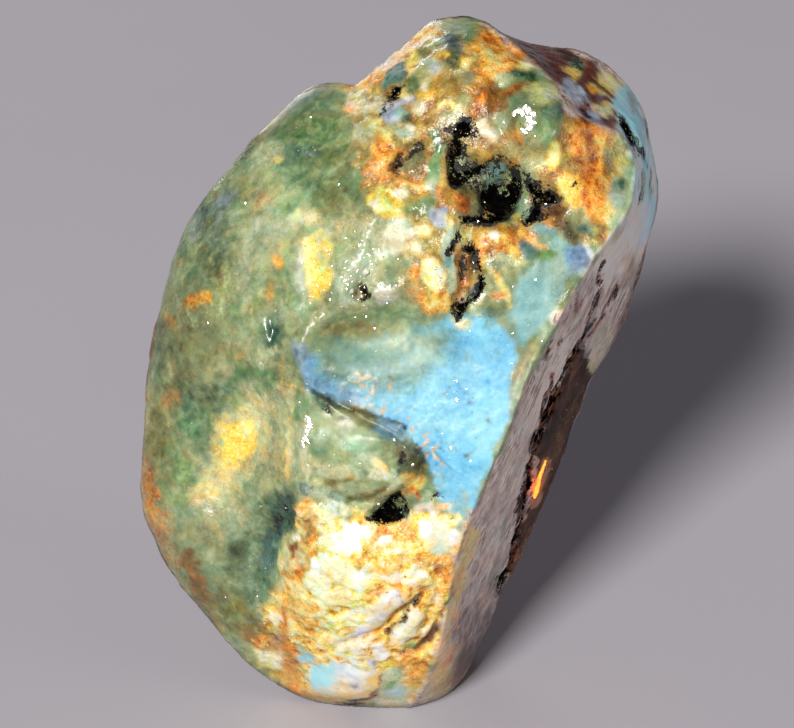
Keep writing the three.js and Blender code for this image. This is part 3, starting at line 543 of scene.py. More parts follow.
lay(("e", 199, 418, 19, 30, 12), {"D": .55, "E": .25, "G": .2}, .35, .8, "a", .95, **F_)
lay(("e", 214, 392, 20, 9, -10), {"D": .6, "G": .4}, .4, .7, "b", .8, **F_)
lay(("e", 262, 362, 14, 10, 0), {"P": .8, "W": .2}, .4, .9, "b", .8, **F_)
lay(("a", [(228, 410), (262, 400), (275, 416), (277, 442), (270, 464), (256, 486), (238, 504), (214, 512), (198, 506), (196, 484), (210, 462), (214, 436)], 10), {"Y": .30, "W": .12, "P": .46, "O": .12}, .45, 1.1, "b", .85, **F_)
lay(("a", [(234, 418), (254, 414), (258, 438), (246, 464), (220, 468), (218, 444)], 10), {"Y": .94, "W": .06}, .4, .9, "b", 1, up=.10, **F_)
lay(("e", 206, 496, 11, 9, -40), {"Y": .6, "R": .4}, .35, .7, "b", .9, **F_)
lay(("l", [(284, 372), (281, 420), (276, 470), (262, 510)], 9), {"O": .6, "P": .4}, .45, .7, "b", .8, **F_)
lay(("l", [(291, 390), (289, 440), (284, 480)], 4), {"Y": .35, "P": .45, "O": .2}, .4, .8, "b", .8, **F_)
lay(("a", [(225, 512), (252, 498), (280, 492), (302, 506), (300, 540), (288, 580), (262, 610), (236, 594), (222, 556)], 12), {"D": .62, "E": .14, "G": .24}, .4, .7, "a", .95, **F_)
lay(("e", 282, 522, 16, 22, 15), {"D": .7, "K": .3}, .4, .5, "b", .8, **F_)
lay(("e", 248, 560, 10, 30, 10), {"G": .7, "P": .3}, .5, .8, "b", .55, **F_)
lay(("e", 200, 540, 26, 34, 0), {"G": .6, "P": .25, "O": .15}, .5, .7, "a", .8, **F_)
lay(("l", [(148, 470), (152, 505), (162, 540), (172, 562)], 10), {"R": .55, "P": .25, "O": .2}, .5, .8, "b", .9, **F_)
lay(("l", [(186, 560), (200, 592), (220, 620)], 10), {"N": .35, "O": .4, "R": .25}, .5, .9, "b", .85, **F_)
lay(("e", 232, 620, 22, 18, 40), {"O": .7, "Y": .15, "G": .15}, .5, .8, "b", .8, **F_)
lay(("e", 150, 430, 8, 50, 0), {"O": .5, "R": .3, "P": .2}, .5, .9, "b", .6, **F_)

Q = Q_CLOSE
pat("e", (208, 226, 18, 44, -22), {"D": .40, "L": .2, "G": .4}, -.08, amp=1.0, strength=.75)
pat("e", (196, 222, 8, 14, -20), {"L": .4, "G": .4, "P": .2}, .08, amp=.8, strength=.55)
pat("l", ([(250, 228), (246, 256), (244, 292)], 7), {"P": .45, "F": .3, "G": .25}, -.02, amp=1.1, strength=.6)
pat("l", ([(225, 266), (227, 284), (222, 312)], 3), {"P": .6, "E": .4}, .08, amp=1.0, strength=.8)
pat("l", ([(190, 318), (195, 330)], 3), {"P": .7, "E": .3}, .1, amp=.8, strength=.8)
pat("l", ([(300, 98), (284, 112), (262, 132), (240, 154)], 5), {"O": .4, "G": .3, "F": .3}, -.12, amp=.8, strength=.8)
pat("l", ([(318, 86), (330, 84), (344, 86)], 5), {"P": .4, "Y": .35, "O": .25}, .05, amp=.8, strength=.8)
pat("e", (323, 132, 20, 14, 10), {"E": .45, "D": .35, "G": .2}, -.05, amp=1.0, strength=.7)
pat("e", (338, 196, 12, 22, 0), {"O": .65, "G": .35}, -.05, amp=1.0, strength=.7)
pat("e", (270, 180, 12, 16, 0), {"E": .5, "P": .3, "G": .2}, .02, amp=1.1, strength=.6)
pat("e", (266, 230, 20, 14, 20), {"T": .2, "G": .5, "P": .3}, .0, amp=1.1, strength=.5)
pat("e", (195, 262, 12, 26, 0), {"G": .6, "D": .3, "L": .1}, -.05, amp=1.1, strength=.6)
pat("e", (208, 340, 26, 20, -20), {"O": .45, "G": .4, "E": .15}, -.04, amp=1.1, strength=.6)
pat("e", (244, 330, 14, 18, 0), {"G": .45, "P": .2, "T": .2, "E": .15}, .03, amp=1.1, strength=.5)
pat("e", (170, 400, 9, 10, 0), {"R": .55, "O": .3, "P": .15}, .0, amp=.9, strength=.8)
pat("e", (160, 350, 9, 30, 5), {"O": .5, "G": .3, "D": .2}, -.06, amp=1.0, strength=.7)
pat("e", (158, 440, 10, 28, 0), {"O": .6, "N": .15, "G": .25}, -.08, amp=1.0, strength=.7)
pat("e", (150, 492, 7, 22, -6), {"R": .65, "Y": .1, "O": .25}, .0, amp=.8, strength=.85)
pat("e", (184, 476, 9, 13, 10), {"E": .7, "P": .3}, .06, amp=.9, strength=.8)
pat("l", ([(281, 362), (284, 396), (282, 440), (279, 478)], 3.4), {"O": .55, "Y": .2, "P": .25}, .02, amp=1.0, strength=.8)
pat("l", ([(293, 402), (289, 440), (286, 476)], 2.6), {"R": .3, "Y": .35, "P": .35}, .04, amp=1.0, strength=.75)
pat("e", (258, 410, 16, 20, 20), {"P": .75, "Y": .15, "O": .1}, .04, amp=1.2, strength=.75)
pat("e", (204, 482, 9, 20, 15), {"P": .5, "Y": .25, "G": .25}, -.02, amp=1.2, strength=.8)
pat("l", ([(250, 462), (238, 486), (228, 506)], 5), {"P": .45, "O": .35, "Y": .2}, .0, amp=1.2, strength=.8)
pat("l", ([(262, 470), (252, 494), (240, 520)], 6), {"G": .4, "O": .35, "P": .25}, .0, amp=1.1, strength=.75)
pat("e", (226, 508, 20, 10, -20), {"P": .4, "O": .3, "G": .3}, .0, amp=1.2, strength=.7)
pat("e", (287, 514, 13, 16, 20), {"D": .75, "K": .25}, -.15, amp=.8, strength=.85)
pat("e", (270, 552, 10, 20, 10), {"D": .6, "L": .2, "T": .2}, -.10, amp=1.0, strength=.8)
pat("e", (233, 556, 11, 19, 0), {"D": .5, "O": .25, "G": .25}, -.08, amp=1.0, strength=.75)
pat("e", (250, 584, 16, 14, 30), {"D": .4, "T": .25, "G": .35}, .0, amp=1.0, strength=.6)
pat("l", ([(187, 552), (196, 576), (210, 606)], 6), {"N": .4, "R": .3, "O": .3}, -.05, amp=1.1, strength=.75)
pat("e", (212, 520, 14, 12, 0), {"P": .35, "O": .35, "G": .3}, .0, amp=1.1, strength=.6)
pat("e", (238, 612, 18, 12, 45), {"O": .5, "Y": .2, "E": .3}, .0, amp=1.1, strength=.7)
pat("e", (218, 600, 9, 10, 45), {"O": .5, "G": .3, "R": .2}, -.05, amp=1.1, strength=.7)
Q = Q_BROAD

# ridge, sparkling slope and the smooth scoop under it
lay(("e", 352, 245, 34, 26, -25), {"P": .5, "G": .35, "Y": .15}, .45, .8, "b", .8, **F_)
lay(("e", 363, 274, 26, 12, -10), {"P": .8, "W": .2}, .4, .7, "b", .8, **F_)
lay(("l", [(360, 295), (340, 315), (318, 335), (306, 352)], 9), {"P": .7, "G": .3}, .4, .9, "b", .8, **F_)
lay(("a", [(306, 338), (335, 312), (362, 304), (404, 300), (424, 330), (424, 344), (380, 352), (330, 356), (306, 358)], 9), {"G": .85, "E": .15}, .35, .5, "a", .95, **F_)
lay(("e", 352, 334, 24, 11, -5), {"A": .2, "O": .72, "N": .08}, .5, .8, "b", .9, **F_)
lay(("e", 392, 312, 26, 9, -12), {"G": .6, "E": .4}, .4, .5, "b", .7, **F_)
lay(("a", [(372, 283), (392, 287), (406, 292), (394, 299), (374, 302)], 3), {"W": .4, "L": .42, "P": .18}, .3, .2, "b", .95, **F_)
lay(("e", 363, 291, 4.6, 7.4, 5), {"K": .8, "N": .2}, .25, .3, "b", 1, **F_)
lay(("e", 310, 362, 5, 6, 0), {"K": .6, "D": .4}, .3, .3, "b", .9, **F_)
lay(("e", 398, 255, 20, 16, 0), {"O": .45, "Y": .3, "G": .25}, .45, .9, "b", .8, **F_)
lay(("e", 405, 280, 12, 14, 0), {"O": .5, "P": .3, "Y": .2}, .45, .8, "b", .7, **F_)

Q = Q_CLOSE
pat("l", ([(378, 220), (368, 244), (354, 266)], 9), {"P": .5, "F": .25, "G": .25}, -.05, amp=.9, strength=.7)
pat("l", ([(322, 86), (306, 94), (290, 106)], 6), {"T": .45, "O": .55}, -.22, amp=.8, strength=.85)
Q = Q_BROAD

# the blue fracture
lay(("a", [(297, 358), (330, 352), (412, 332), (455, 316), (490, 312), (522, 345), (518, 388), (501, 434), (486, 476), (470, 522), (446, 512), (431, 478), (421, 448), (383, 418), (340, 404), (312, 388)], 9), {"B": .8, "T": .2}, .3, .45, "a", 1, **F_)
lay(("a", [(306, 346), (340, 330), (430, 322), (452, 336), (444, 366), (412, 390), (372, 396), (330, 384)], 16), {"T": .24, "G": .62, "E": .14}, .6, .35, "a", .92, **F_)
lay(("e", 402, 366, 44, 26, -20), {"T": .7, "B": .3}, .8, .4, "a", .6, **F_)
lay(("l", [(299, 356), (312, 378), (334, 394), (356, 404)], 11), {"L": .62, "B": .26, "D": .12}, .5, .5, "b", .85, **F_)
cover(face_w * smooth((fbm(P, .42, 3, 411, .6) - .70) / .1) * smooth(field(("e", 420, 430, 120, 110, 0)) * 3) * .7, {"O": .3, "D": .4, "R": .1, "W": .2})
lay(("a", [(505, 285), (560, 236), (572, 262), (556, 300), (540, 330), (522, 352), (508, 330)], 9), {"T": .8, "B": .2}, .4, .7, "a", .95, **F_)
lay(("e", 548, 262, 22, 20, 0), {"T": .7, "P": .3}, .4, .6, "b", .8, **F_)
lay(("e", 577, 255, 13, 16, 15), {"L": .8, "B": .2}, .35, .4, "b", .95, **F_)
lay(("l", [(536, 340), (528, 358), (519, 382)], 6), {"O": .8, "Y": .2}, .4, .6, "b", .9, **F_)
lay(("l", [(516, 392), (506, 425), (494, 452)], 4), {"O": .45, "T": .35, "Y": .2}, .4, .8, "b", .75, **F_)
lay(("e", 452, 542, 15, 32, 14), {"T": .4, "P": .35, "W": .25}, .4, .7, "b", .9, **F_)
dust = fbm(P, .26, 2, 431)
for line, w in (([(346, 380), (366, 384), (386, 390)], 9), ([(368, 398), (400, 414), (426, 440), (438, 466)], 11), ([(380, 452), (410, 458), (424, 470)], 9)):
    a_ = face_w * smooth(field(("l", line, w)) * 2) * smooth((dust - .22) / .12)
    cover(a_ * .85, {"R": .38, "W": .42, "P": .2})
lay(("l", [(318, 392), (350, 408), (384, 420), (412, 440), (428, 462)], 3.4), {"D": .6, "N": .25, "K": .15}, .3, 1.0, "b", .75, **F_)
lay(("e", 330, 432, 6, 10, 0), {"E": .7, "T": .3}, .4, .5, "b", .6, **F_)
lay(("e", 488, 322, 8, 10, 0), {"D": .7, "T": .3}, .3, .6, "b", .5, **F_)

lay(("e", 352, 332, 24, 10, -5), {"O": .75, "G": .2, "N": .05}, .45, .7, "b", .8, **F_)

# ledges and the green lens
lay(("a", [(302, 408), (345, 412), (392, 428), (420, 452), (424, 478), (404, 500), (360, 506), (316, 492), (300, 455)], 9), {"G": .55, "E": .2, "P": .15, "O": .1}, .35, .5, "a", .95, **F_)
Q = Q_CLOSE
pat("a", ([(312, 404), (350, 402), (382, 418), (404, 430), (398, 442), (362, 432), (330, 420)], 6), {"O": .5, "G": .35, "N": .15}, -.05)
pat("l", ([(318, 398), (352, 409), (380, 419), (404, 425)], 2.6), {"D": .4, "N": .4, "K": .2}, -.2)
pat("l", ([(316, 400), (324, 408), (332, 412)], 2.2), {"D": .6, "K": .4}, -.2)
pat("l", ([(342, 416), (348, 419)], 3), {"D": .7, "N": .3}, -.2)
pat("e", (390, 430, 18, 8, 25), {"L": .5, "T": .3, "B": .2}, -.05)
pat("e", (405, 452, 14, 9, 0), {"L": .35, "O": .45, "N": .2}, -.15)
pat("e", (414, 467, 14, 10, 0), {"O": .5, "D": .4, "N": .1}, -.2)
pat("e", (404, 459, 4, 6, 0), {"N": .5, "K": .5}, -.2)
pat("e", (400, 472, 4, 5, 0), {"N": .5, "D": .5}, -.2)
pat("e", (318, 440, 12, 9, 0), {"D": .25, "G": .5, "T": .25}, -.05)
pat("e", (318, 451, 8, 5, 0), {"E": .6, "T": .4}, -.1)
pat("e", (352, 444, 16, 8, 15), {"E": .45, "T": .3, "P": .25}, .25)
pat("e", (336, 472, 26, 8, 8), {"P": .55, "Y": .15, "G": .3}, .1)
pat("e", (370, 462, 16, 12, 20), {"P": .5, "E": .2, "G": .3}, .2)
pat("l", ([(374, 460), (382, 466), (388, 478)], 4), {"Y": .4, "R": .2, "P": .4}, .15)
pat("e", (378, 476, 9, 4, 0), {"P": .8, "W": .2}, .2)
pat("e", (362, 489, 26, 7, 0), {"G": .6, "E": .2, "P": .2}, .1)
pat("l", ([(326, 484), (342, 481), (352, 477)], 3.5), {"O": .5, "N": .25, "D": .25}, -.1)
pat("e", (349, 477, 6, 3, 0), {"R": .5, "W": .3, "O": .2}, .1)
pat("a", ([(296, 480), (316, 483), (334, 490), (346, 498), (338, 504), (318, 498), (298, 494)], 4), {"D": .45, "L": .35, "P": .2}, -.12)
pat("e", (318, 493, 10, 5, 10), {"T": .5, "P": .5}, .0)
pat("l", ([(346, 499), (360, 499), (374, 495), (384, 489)], 3.4), {"O": .3, "D": .4, "N": .3}, -.12)
pat("e", (378, 489, 8, 4, -20), {"N": .6, "O": .4}, -.05)
pat("l", ([(352, 505), (372, 504), (386, 498), (394, 486), (394, 474)], 4.5), {"P": .6, "E": .2, "G": .2}, .2)
pat("l", ([(340, 505), (352, 512), (366, 514)], 4), {"E": .4, "P": .4, "Y": .2}, .1)
pat("e", (300, 430, 7, 14, 8), {"P": .5, "R": .2, "O": .3}, .1)
pat("l", ([(304, 450), (306, 470), (316, 482)], 5), {"P": .6, "Y": .2, "G": .2}, .15)

# lower crust
Q = Q_BROAD
low_crust = [(298, 498), (318, 500), (340, 512), (362, 520), (405, 512), (432, 508), (455, 512), (462, 530), (452, 560), (447, 600), (446, 640), (436, 672), (418, 700), (392, 706), (345, 706), (300, 694), (262, 672), (250, 650), (262, 618), (282, 590), (284, 556), (300, 532)]
lay(("a", low_crust, 9), {"Y": .56, "W": .20, "R": .22, "O": .02}, .3, .5, "b", 1, True, up=.06, **F_)
lay(("e", 300, 590, 20, 62, 12), {"R": .55, "O": .22, "Y": .23}, .45, .6, "a", .85, True, **F_)
lay(("e", 272, 640, 24, 26, 0), {"R": .42, "O": .35, "Y": .15, "N": .08}, .45, .6, "a", .85, True, **F_)
Q = Q_CLOSE
pat("e", (306, 506, 8, 7, 0), {"R": .9, "Y": .1}, .30, .8)
pat("e", (328, 514, 14, 12, 10), {"Y": .7, "W": .3}, .28, .8)
pat("e", (309, 530, 8, 18, 0), {"O": .45, "R": .45, "P": .1}, .0, .7)
pat("e", (310, 532, 4, 7, 0), {"G": .5, "O": .5}, -.1, .5)
pat("e", (334, 508, 10, 9, 30), {"P": .4, "T": .25, "W": .35}, .15, .5)
pat("e", (345, 514, 6, 8, 0), {"E": .4, "P": .6}, .2, .4)
pat("e", (356, 511, 8, 4, 20), {"Y": .6, "O": .4}, .0, .6)
pat("l", ([(302, 530), (290, 538), (283, 548), (285, 566), (282, 588)], 5), {"P": .5, "Y": .25, "E": .25}, .05, .4)
pat("e", (296, 538, 4, 3, 0), {"W": 1}, .3, .4)
pat("e", (296, 560, 12, 10, 0), {"P": .45, "R": .4, "O": .15}, .05, .7)
pat("e", (292, 549, 4.5, 7, 15), {"N": .8, "R": .2}, -.2, .6)
pat("l", ([(284, 576), (296, 573), (306, 571)], 5), {"R": .7, "N": .3}, -.12, .8)
pat("l", ([(314, 538), (312, 552), (316, 560)], 5), {"R": .85, "Y": .15}, .12, .8)
pat("e", (296, 588, 14, 9, 0), {"R": .8, "Y": .2}, .2, .8)
tone(300, 600, 24, 44, 8, .10)
tone(308, 682, 32, 20, 20, .12)
tone(350, 680, 40, 18, 0, .2)
tone(396, 694, 22, 14, 0, .3)
pat("e", (340, 560, 24, 40, 0), {"Y": .75, "W": .25}, .34, .8)
pat("e", (322, 572, 12, 22, 0), {"Y": .6, "W": .4}, .34, .8)
pat("e", (342, 566, 10, 9, 0), {"P": .6, "Y": .4}, .25, .7)
pat("e", (344, 590, 34, 16, 0), {"Y": .85, "W": .15}, .32, .8)
pat("e", (330, 574, 4, 5, 0), {"R": 1}, .22, .8)
pat("e", (360, 561, 6, 4, 0), {"R": .9, "Y": .1}, .26, .8)
# the next five lines: small spots of pure white lifted to blown white, painted highlights on the crust
pat("e", (351, 540, 10, 15, 0), {"W": 1}, .7, .5)
pat("e", (362, 578, 8, 10, 0), {"W": 1}, .7, .5)
pat("e", (362, 530, 5, 4, 0), {"W": 1}, .6, .5)
pat("e", (335, 534, 5, 3, 0), {"W": 1}, .5, .5)
pat("e", (315, 567, 6, 7, 0), {"W": .8, "Y": .2}, .4, .6)
pat("e", (384, 528, 14, 6, 10), {"R": .85, "N": .15}, .08, .8)
pat("l", ([(370, 524), (384, 523)], 3), {"Y": .7, "W": .3}, .1, .7)
pat("e", (400, 530, 14, 8, 0), {"Y": .45, "R": .35, "O": .2}, .1, .8)
pat("e", (382, 561, 16, 13, 0), {"Y": .5, "R": .5}, .22, .8)
pat("l", ([(374, 570), (386, 571), (394, 566)], 4), {"R": .9, "Y": .1}, .2, .8)
pat("l", ([(362, 543), (372, 547), (384, 545)], 4), {"R": .8, "Y": .2}, .24, .8)
pat("l", ([(398, 543), (410, 541), (424, 545)], 3.6), {"R": .8, "Y": .2}, .24, .8)
pat("l", ([(412, 520), (426, 519), (438, 519)], 3.6), {"R": .6, "Y": .4}, .15, .8)
pat("l", ([(420, 536), (427, 542), (426, 546)], 3.5), {"R": .7, "Y": .3}, .28, .8)
pat("l", ([(420, 553), (430, 560), (444, 560)], 3.6), {"R": .8, "Y": .2}, .24, .8)
pat("e", (408, 550, 16, 5, 0), {"Y": 1}, .3, .8)
pat("e", (378, 582, 14, 8, 0), {"Y": .95, "P": .05}, .25, .8)
# the next four lines: small white spots lifted to blown white, painted highlights on the crust
pat("e", (382, 540, 7, 4, -10), {"W": 1}, .7, .5)
pat("e", (386, 563, 3.6, 3.6, 0), {"W": .9, "Y": .1}, .5, .5)
pat("e", (423, 529, 5, 8, 25), {"W": 1}, .6, .5)
pat("e", (396, 552, 10, 3, 0), {"W": .9, "Y": .1}, .5, .6)
pat("e", (394, 578, 10, 6, 0), {"W": .8, "Y": .2}, .4, .6)
pat("e", (416, 578, 10, 9, 0), {"W": .6, "Y": .4}, .35, .6)
pat("e", (446, 520, 12, 9, 0), {"Y": .7, "W": .3}, .25, .8)
pat("e", (440, 540, 10, 14, 0), {"P": .45, "T": .2, "W": .35}, .3, .5)
pat("e", (440, 548, 6, 4, 0), {"T": .6, "P": .4}, .3, .4)
pat("e", (452, 538, 6, 10, 15), {"L": .5, "W": .5}, .3, .4)
pat("l", ([(464, 540), (454, 556), (446, 576), (440, 590)], 6), {"R": .6, "W": .2, "Y": .2}, .22, .7)
pat("e", (433, 584, 9, 6, 0), {"Y": .6, "W": .4}, .3, .7)
pat("e", (420, 586, 5, 6, 0), {"R": .8, "W": .2}, .2, .7)
pat("e", (436, 598, 7, 5, 0), {"W": .6, "R": .4}, .3, .6)
pat("e", (426, 508, 18, 6, 8), {"W": .6, "R": .2, "L": .2}, .3, .4)
pat("e", (441, 504, 8, 3.5, 30), {"R": .6, "W": .4}, .4, .4)
pat("e", (339, 603, 14, 7, 0), {"R": .75, "Y": .25}, .24, .8)
pat("e", (334, 622, 20, 12, 0), {"Y": .92, "R": .08}, .25, .8)
pat("e", (313, 628, 8, 10, 0), {"R": .75, "N": .1, "Y": .15}, .02, .8)
pat("e", (304, 610, 10, 12, 0), {"R": .5, "O": .3, "Y": .2}, .1, .8)
pat("e", (270, 610, 9, 16, 20), {"Y": .5, "R": .4, "W": .1}, .15, .8)
pat("e", (276, 618, 5, 6, 0), {"W": .7, "Y": .3}, .3, .7)
pat("e", (294, 640, 12, 24, 10), {"R": .6, "Y": .35, "O": .05}, .12, .8)
pat("e", (320, 640, 12, 9, 0), {"Y": .5, "W": .3, "R": .2}, .2, .8)
pat("e", (340, 646, 22, 10, 0), {"Y": .6, "R": .2, "W": .2}, .24, .7)
pat("e", (326, 655, 16, 5, -8), {"Y": .8, "W": .2}, .2, .7)
pat("e", (362, 618, 14, 12, 0), {"Y": .45, "P": .2, "W": .35}, .28, .6)
pat("a", ([(366, 622), (372, 608), (384, 594), (402, 588), (412, 592), (402, 606), (390, 620), (376, 628)], 5), {"L": .30, "W": .34, "R": .36}, .34, .5, amp=.9, strength=.8)
pat("e", (389, 592, 8, 5, -20), {"W": .5, "L": .5}, .5, .2)
pat("l", ([(408, 590), (402, 602), (394, 612), (384, 624), (370, 632)], 4), {"R": .85, "W": .15}, .32, .3)
pat("l", ([(386, 616), (390, 606), (396, 598)], 3), {"R": .7, "W": .3}, .35, .3)
pat("e", (374, 634, 14, 5, -25), {"R": .8, "W": .2}, .24, .4)
pat("e", (360, 636, 10, 7, -10), {"L": .6, "W": .4}, .28, .3)
pat("e", (352, 646, 12, 5, 0), {"W": .6, "R": .4}, .28, .5)
pat("l", ([(422, 596), (414, 606), (405, 616), (398, 626), (388, 634)], 3.2), {"K": .5, "N": .5}, -.35, .4, amp=.2)
pat("e", (410, 602, 9, 5, -45), {"P": .5, "Y": .3, "W": .2}, .25, .5)
pat("a", ([(400, 622), (410, 610), (422, 604), (420, 620), (413, 634), (400, 645), (388, 642), (392, 632)], 3), {"W": .70, "R": .16, "Y": .14}, .55, .7, amp=.8, strength=.85)
pat("e", (430, 614, 12, 14, 10), {"R": .6, "Y": .25, "W": .15}, .24, .7)
pat("e", (424, 632, 9, 8, 0), {"R": .4, "Y": .3, "P": .3}, .2, .6)
pat("l", ([(446, 604), (443, 620), (437, 633), (427, 644), (414, 650)], 2.8), {"D": .5, "N": .3, "K": .2}, -.3, .3, amp=.2)
pat("e", (410, 646, 7, 4, 0), {"E": .6, "G": .4}, .1, .3)
pat("e", (447, 630, 5, 20, 5), {"P": .6, "G": .2, "L": .2}, .1, .3)
pat("e", (430, 656, 10, 6, 0), {"Y": .5, "W": .4, "R": .1}, .2, .7)
pat("e", (410, 660, 14, 5, 0), {"R": .7, "Y": .3}, .2, .7)
pat("e", (381, 652, 8, 7, 0), {"W": .9, "L": .1}, .5, .4)
pat("e", (372, 663, 9, 4, 0), {"L": .6, "N": .2, "W": .2}, -.05, .2)
pat("e", (272, 658, 13, 8, 15), {"W": .6, "Y": .25, "P": .15}, .25, .8)
pat("e", (263, 642, 7, 5, 20), {"R": 1}, .10, .8)
pat("e", (276, 642, 7, 9, 0), {"N": .3, "W": .3, "R": .4}, .1, .6)
pat("e", (252, 628, 10, 9, 40), {"O": .5, "N": .3, "Y": .2}, .0, .5)
pat("l", ([(284, 606), (285, 630), (288, 656), (298, 676)], 3.2), {"N": .35, "R": .65}, .02, .4)
pat("e", (290, 672, 10, 14, 20), {"R": .7, "O": .3}, .12, .3)
pat("l", ([(296, 684), (314, 696), (340, 701)], 5), {"R": .55, "O": .3, "N": .15}, .08, .3)
pat("e", (306, 657, 8, 6, 30), {"B": .85, "L": .15}, .15, .1)
pat("e", (302, 648, 6, 4, 30), {"T": .6, "P": .4}, .1, .2)
pat("a", ([(310, 664), (326, 661), (346, 661), (366, 664), (382, 672), (380, 686), (362, 694), (340, 696), (322, 690), (311, 680)], 5), {"W": .52, "R": .26, "L": .22}, .5, .4, amp=.9, strength=.9)
pat("a", ([(312, 668), (322, 661), (342, 662), (342, 670), (332, 676), (324, 686), (314, 684)], 4), {"B": .86, "L": .08, "W": .06}, .22, .2, amp=.8, strength=.95)
pat("e", (347, 668, 15, 7, 0), {"W": .66, "B": .18, "L": .16}, .55, .3, amp=.8, strength=.85)
pat("e", (364, 680, 9, 8, 20), {"W": .56, "L": .14, "R": .3}, .5, .4, amp=.9, strength=.85)
pat("l", ([(338, 688), (350, 684), (362, 688)], 3), {"R": .7, "W": .3}, .3, .4, amp=.9, strength=.7)
pat("e", (356, 678, 4, 3, 0), {"L": .7, "N": .3}, -.05, .1)
pat("a", ([(368, 672), (378, 672), (381, 684), (366, 692), (350, 694), (356, 688), (368, 684)], 3), {"R": .7, "Y": .2, "W": .1}, .25, .3)
pat("e", (322, 690, 12, 4, 12), {"R": .6, "Y": .2, "W": .2}, .25, .3)
pat("e", (330, 686, 8, 4, 0), {"P": .6, "W": .2, "L": .2}, .1, .15)
pat("l", ([(342, 692), (358, 690), (372, 684), (380, 674)], 5), {"R": .8, "W": .2}, .30, .1)
pat("l", ([(350, 700), (366, 697), (377, 688), (383, 676)], 3.6), {"N": .75, "K": .25}, -.25, .1, amp=.4, strength=.95)
pat("a", ([(378, 684), (386, 670), (398, 664), (404, 676), (410, 690), (412, 702), (396, 707), (370, 706)], 5), {"G": .25, "E": .15, "P": .6}, .2, .25)
pat("e", (397, 692, 10, 7, 20), {"T": .45, "B": .3, "W": .25}, .5, .1, strength=.95)
pat("e", (392, 682, 8, 4, -20), {"E": .7, "D": .3}, -.05, .2)
pat("e", (384, 702, 14, 4, 0), {"P": .7, "L": .3}, .0, .2)
pat("e", (416, 684, 10, 18, 12), {"R": .6, "Y": .3, "O": .1}, .16, .5)
pat("e", (431, 674, 5, 14, 14), {"G": .5, "D": .2, "P": .3}, .0, .2)
pat("l", ([(374, 624), (388, 608), (402, 594)], 3.2), {"L": .5, "R": .35, "W": .15}, .15, .6, amp=1.0, strength=.7)
pat("l", ([(384, 592), (396, 586), (410, 590)], 3), {"R": .75, "Y": .25}, .1, .6, amp=1.0, strength=.8)
pat("l", ([(398, 640), (410, 626), (420, 612)], 3), {"R": .6, "Y": .2, "W": .2}, .15, .6, amp=1.0, strength=.7)
pat("e", (362, 634, 9, 7, 0), {"L": .6, "W": .3, "R": .1}, .25, .3, amp=.8, strength=.8)
pat("e", (319, 592, 15, 19, 0), {"Y": .7, "R": .3}, .1, .9, amp=1.0, strength=.6)
pat("l", ([(446, 646), (440, 668), (428, 690), (414, 702)], 6), {"N": .35, "R": .45, "F": .2}, .05, .2)
pat("l", ([(334, 704), (350, 706), (362, 706)], 3.6), {"K": .85, "N": .15}, 0, 0)
pat("a", ([(362, 518), (372, 514), (382, 508), (390, 498), (397, 489), (403, 496), (408, 508), (405, 519), (396, 517), (391, 524), (378, 523)], 3), {"K": 1}, 0, .1, amp=.45, strength=1.0)
pat("l", ([(396, 505), (400, 500)], 2.4), {"O": .4, "G": .6}, .05, 0)
pat("e", (404, 513, 3, 3, 0), {"D": .8, "G": .2}, 0, 0)
pat("e", (411, 482, 13, 8, 0), {"Y": .4, "R": .5, "O": .1}, .2, .5)
pat("l", ([(404, 492), (412, 490), (418, 496)], 4), {"R": .7, "N": .3}, .0, .4)
pat("e", (439, 496, 7, 4, 0), {"K": .55, "L": .3, "D": .15}, -.1, .1)

# top lobes
Q = Q_BROAD
top_crust = [(356, 84), (384, 60), (415, 36), (440, 20), (484, 19), (512, 44), (540, 66), (562, 98), (576, 122), (604, 126), (620, 138), (628, 175), (626, 205), (608, 232), (586, 240), (560, 232), (530, 240), (516, 262), (490, 268), (476, 300), (450, 322), (424, 306), (416, 262), (400, 232), (372, 212), (362, 180), (352, 140), (350, 108)]
lay(("a", top_crust, 10), {"Y": .26, "R": .30, "O": .28, "P": .04, "G": .12}, .4, .6, "a", .95, True, **F_)
Q = Q_CLOSE
pat("l", ([(352, 88), (366, 84), (386, 64), (408, 46), (432, 28)], 8), {"R": .5, "Y": .3, "W": .2}, .08, .6)
pat("e", (384, 62, 7, 4, -40), {"O": .5, "D": .5}, -.1, .4)
pat("a", ([(438, 20), (456, 16), (478, 18), (474, 30), (458, 34), (442, 32)], 4), {"P": .5, "G": .3, "L": .2}, .12, .25)
pat("e", (451, 43, 11, 10, 20), {"L": .55, "D": .45}, -.22, .15)
pat("e", (435, 38, 5, 5, 0), {"L": .4, "W": .3, "P": .3}, .1, .3)
pat("e", (471, 33, 7, 9, 20), {"E": .4, "G": .4, "P": .2}, .08, .3)
pat("e", (473, 52, 8, 13, 0), {"O": .5, "Y": .3, "P": .2}, .18, .6)
pat("e", (428, 49, 12, 8, -15), {"E": .6, "P": .15, "G": .25}, .0, .4)
pat("e", (433, 56, 9, 5, 0), {"O": .5, "R": .3, "Y": .2}, .12, .5)
pat("e", (452, 60, 9, 8, 20), {"D": .55, "O": .25, "K": .2}, -.15, .4)
pat("e", (446, 56, 3.4, 3.4, 0), {"Y": 1}, .1, .5)
pat("a", ([(405, 52), (416, 46), (421, 54), (420, 64), (412, 66), (406, 62)], 3), {"Y": .85, "W": .15}, .2, .7)
pat("l", ([(411, 64), (414, 74)], 3.6), {"Y": .7, "W": .3}, .2, .6)
pat("e", (430, 66, 12, 9, 0), {"P": .6, "L": .2, "E": .2}, .1, .3)
pat("e", (433, 69, 5, 5, 0), {"L": .7, "P": .3}, .2, .2)
pat("e", (422, 78, 9, 7, 0), {"E": .35, "P": .5, "Y": .15}, .2, .4)
pat("a", ([(390, 68), (402, 60), (409, 68), (404, 78), (393, 86), (382, 88), (384, 80)], 4), {"T": .6, "D": .3, "E": .1}, -.18, .15)
pat("e", (388, 82, 7, 4, -30), {"E": .5, "T": .5}, .1, .2)
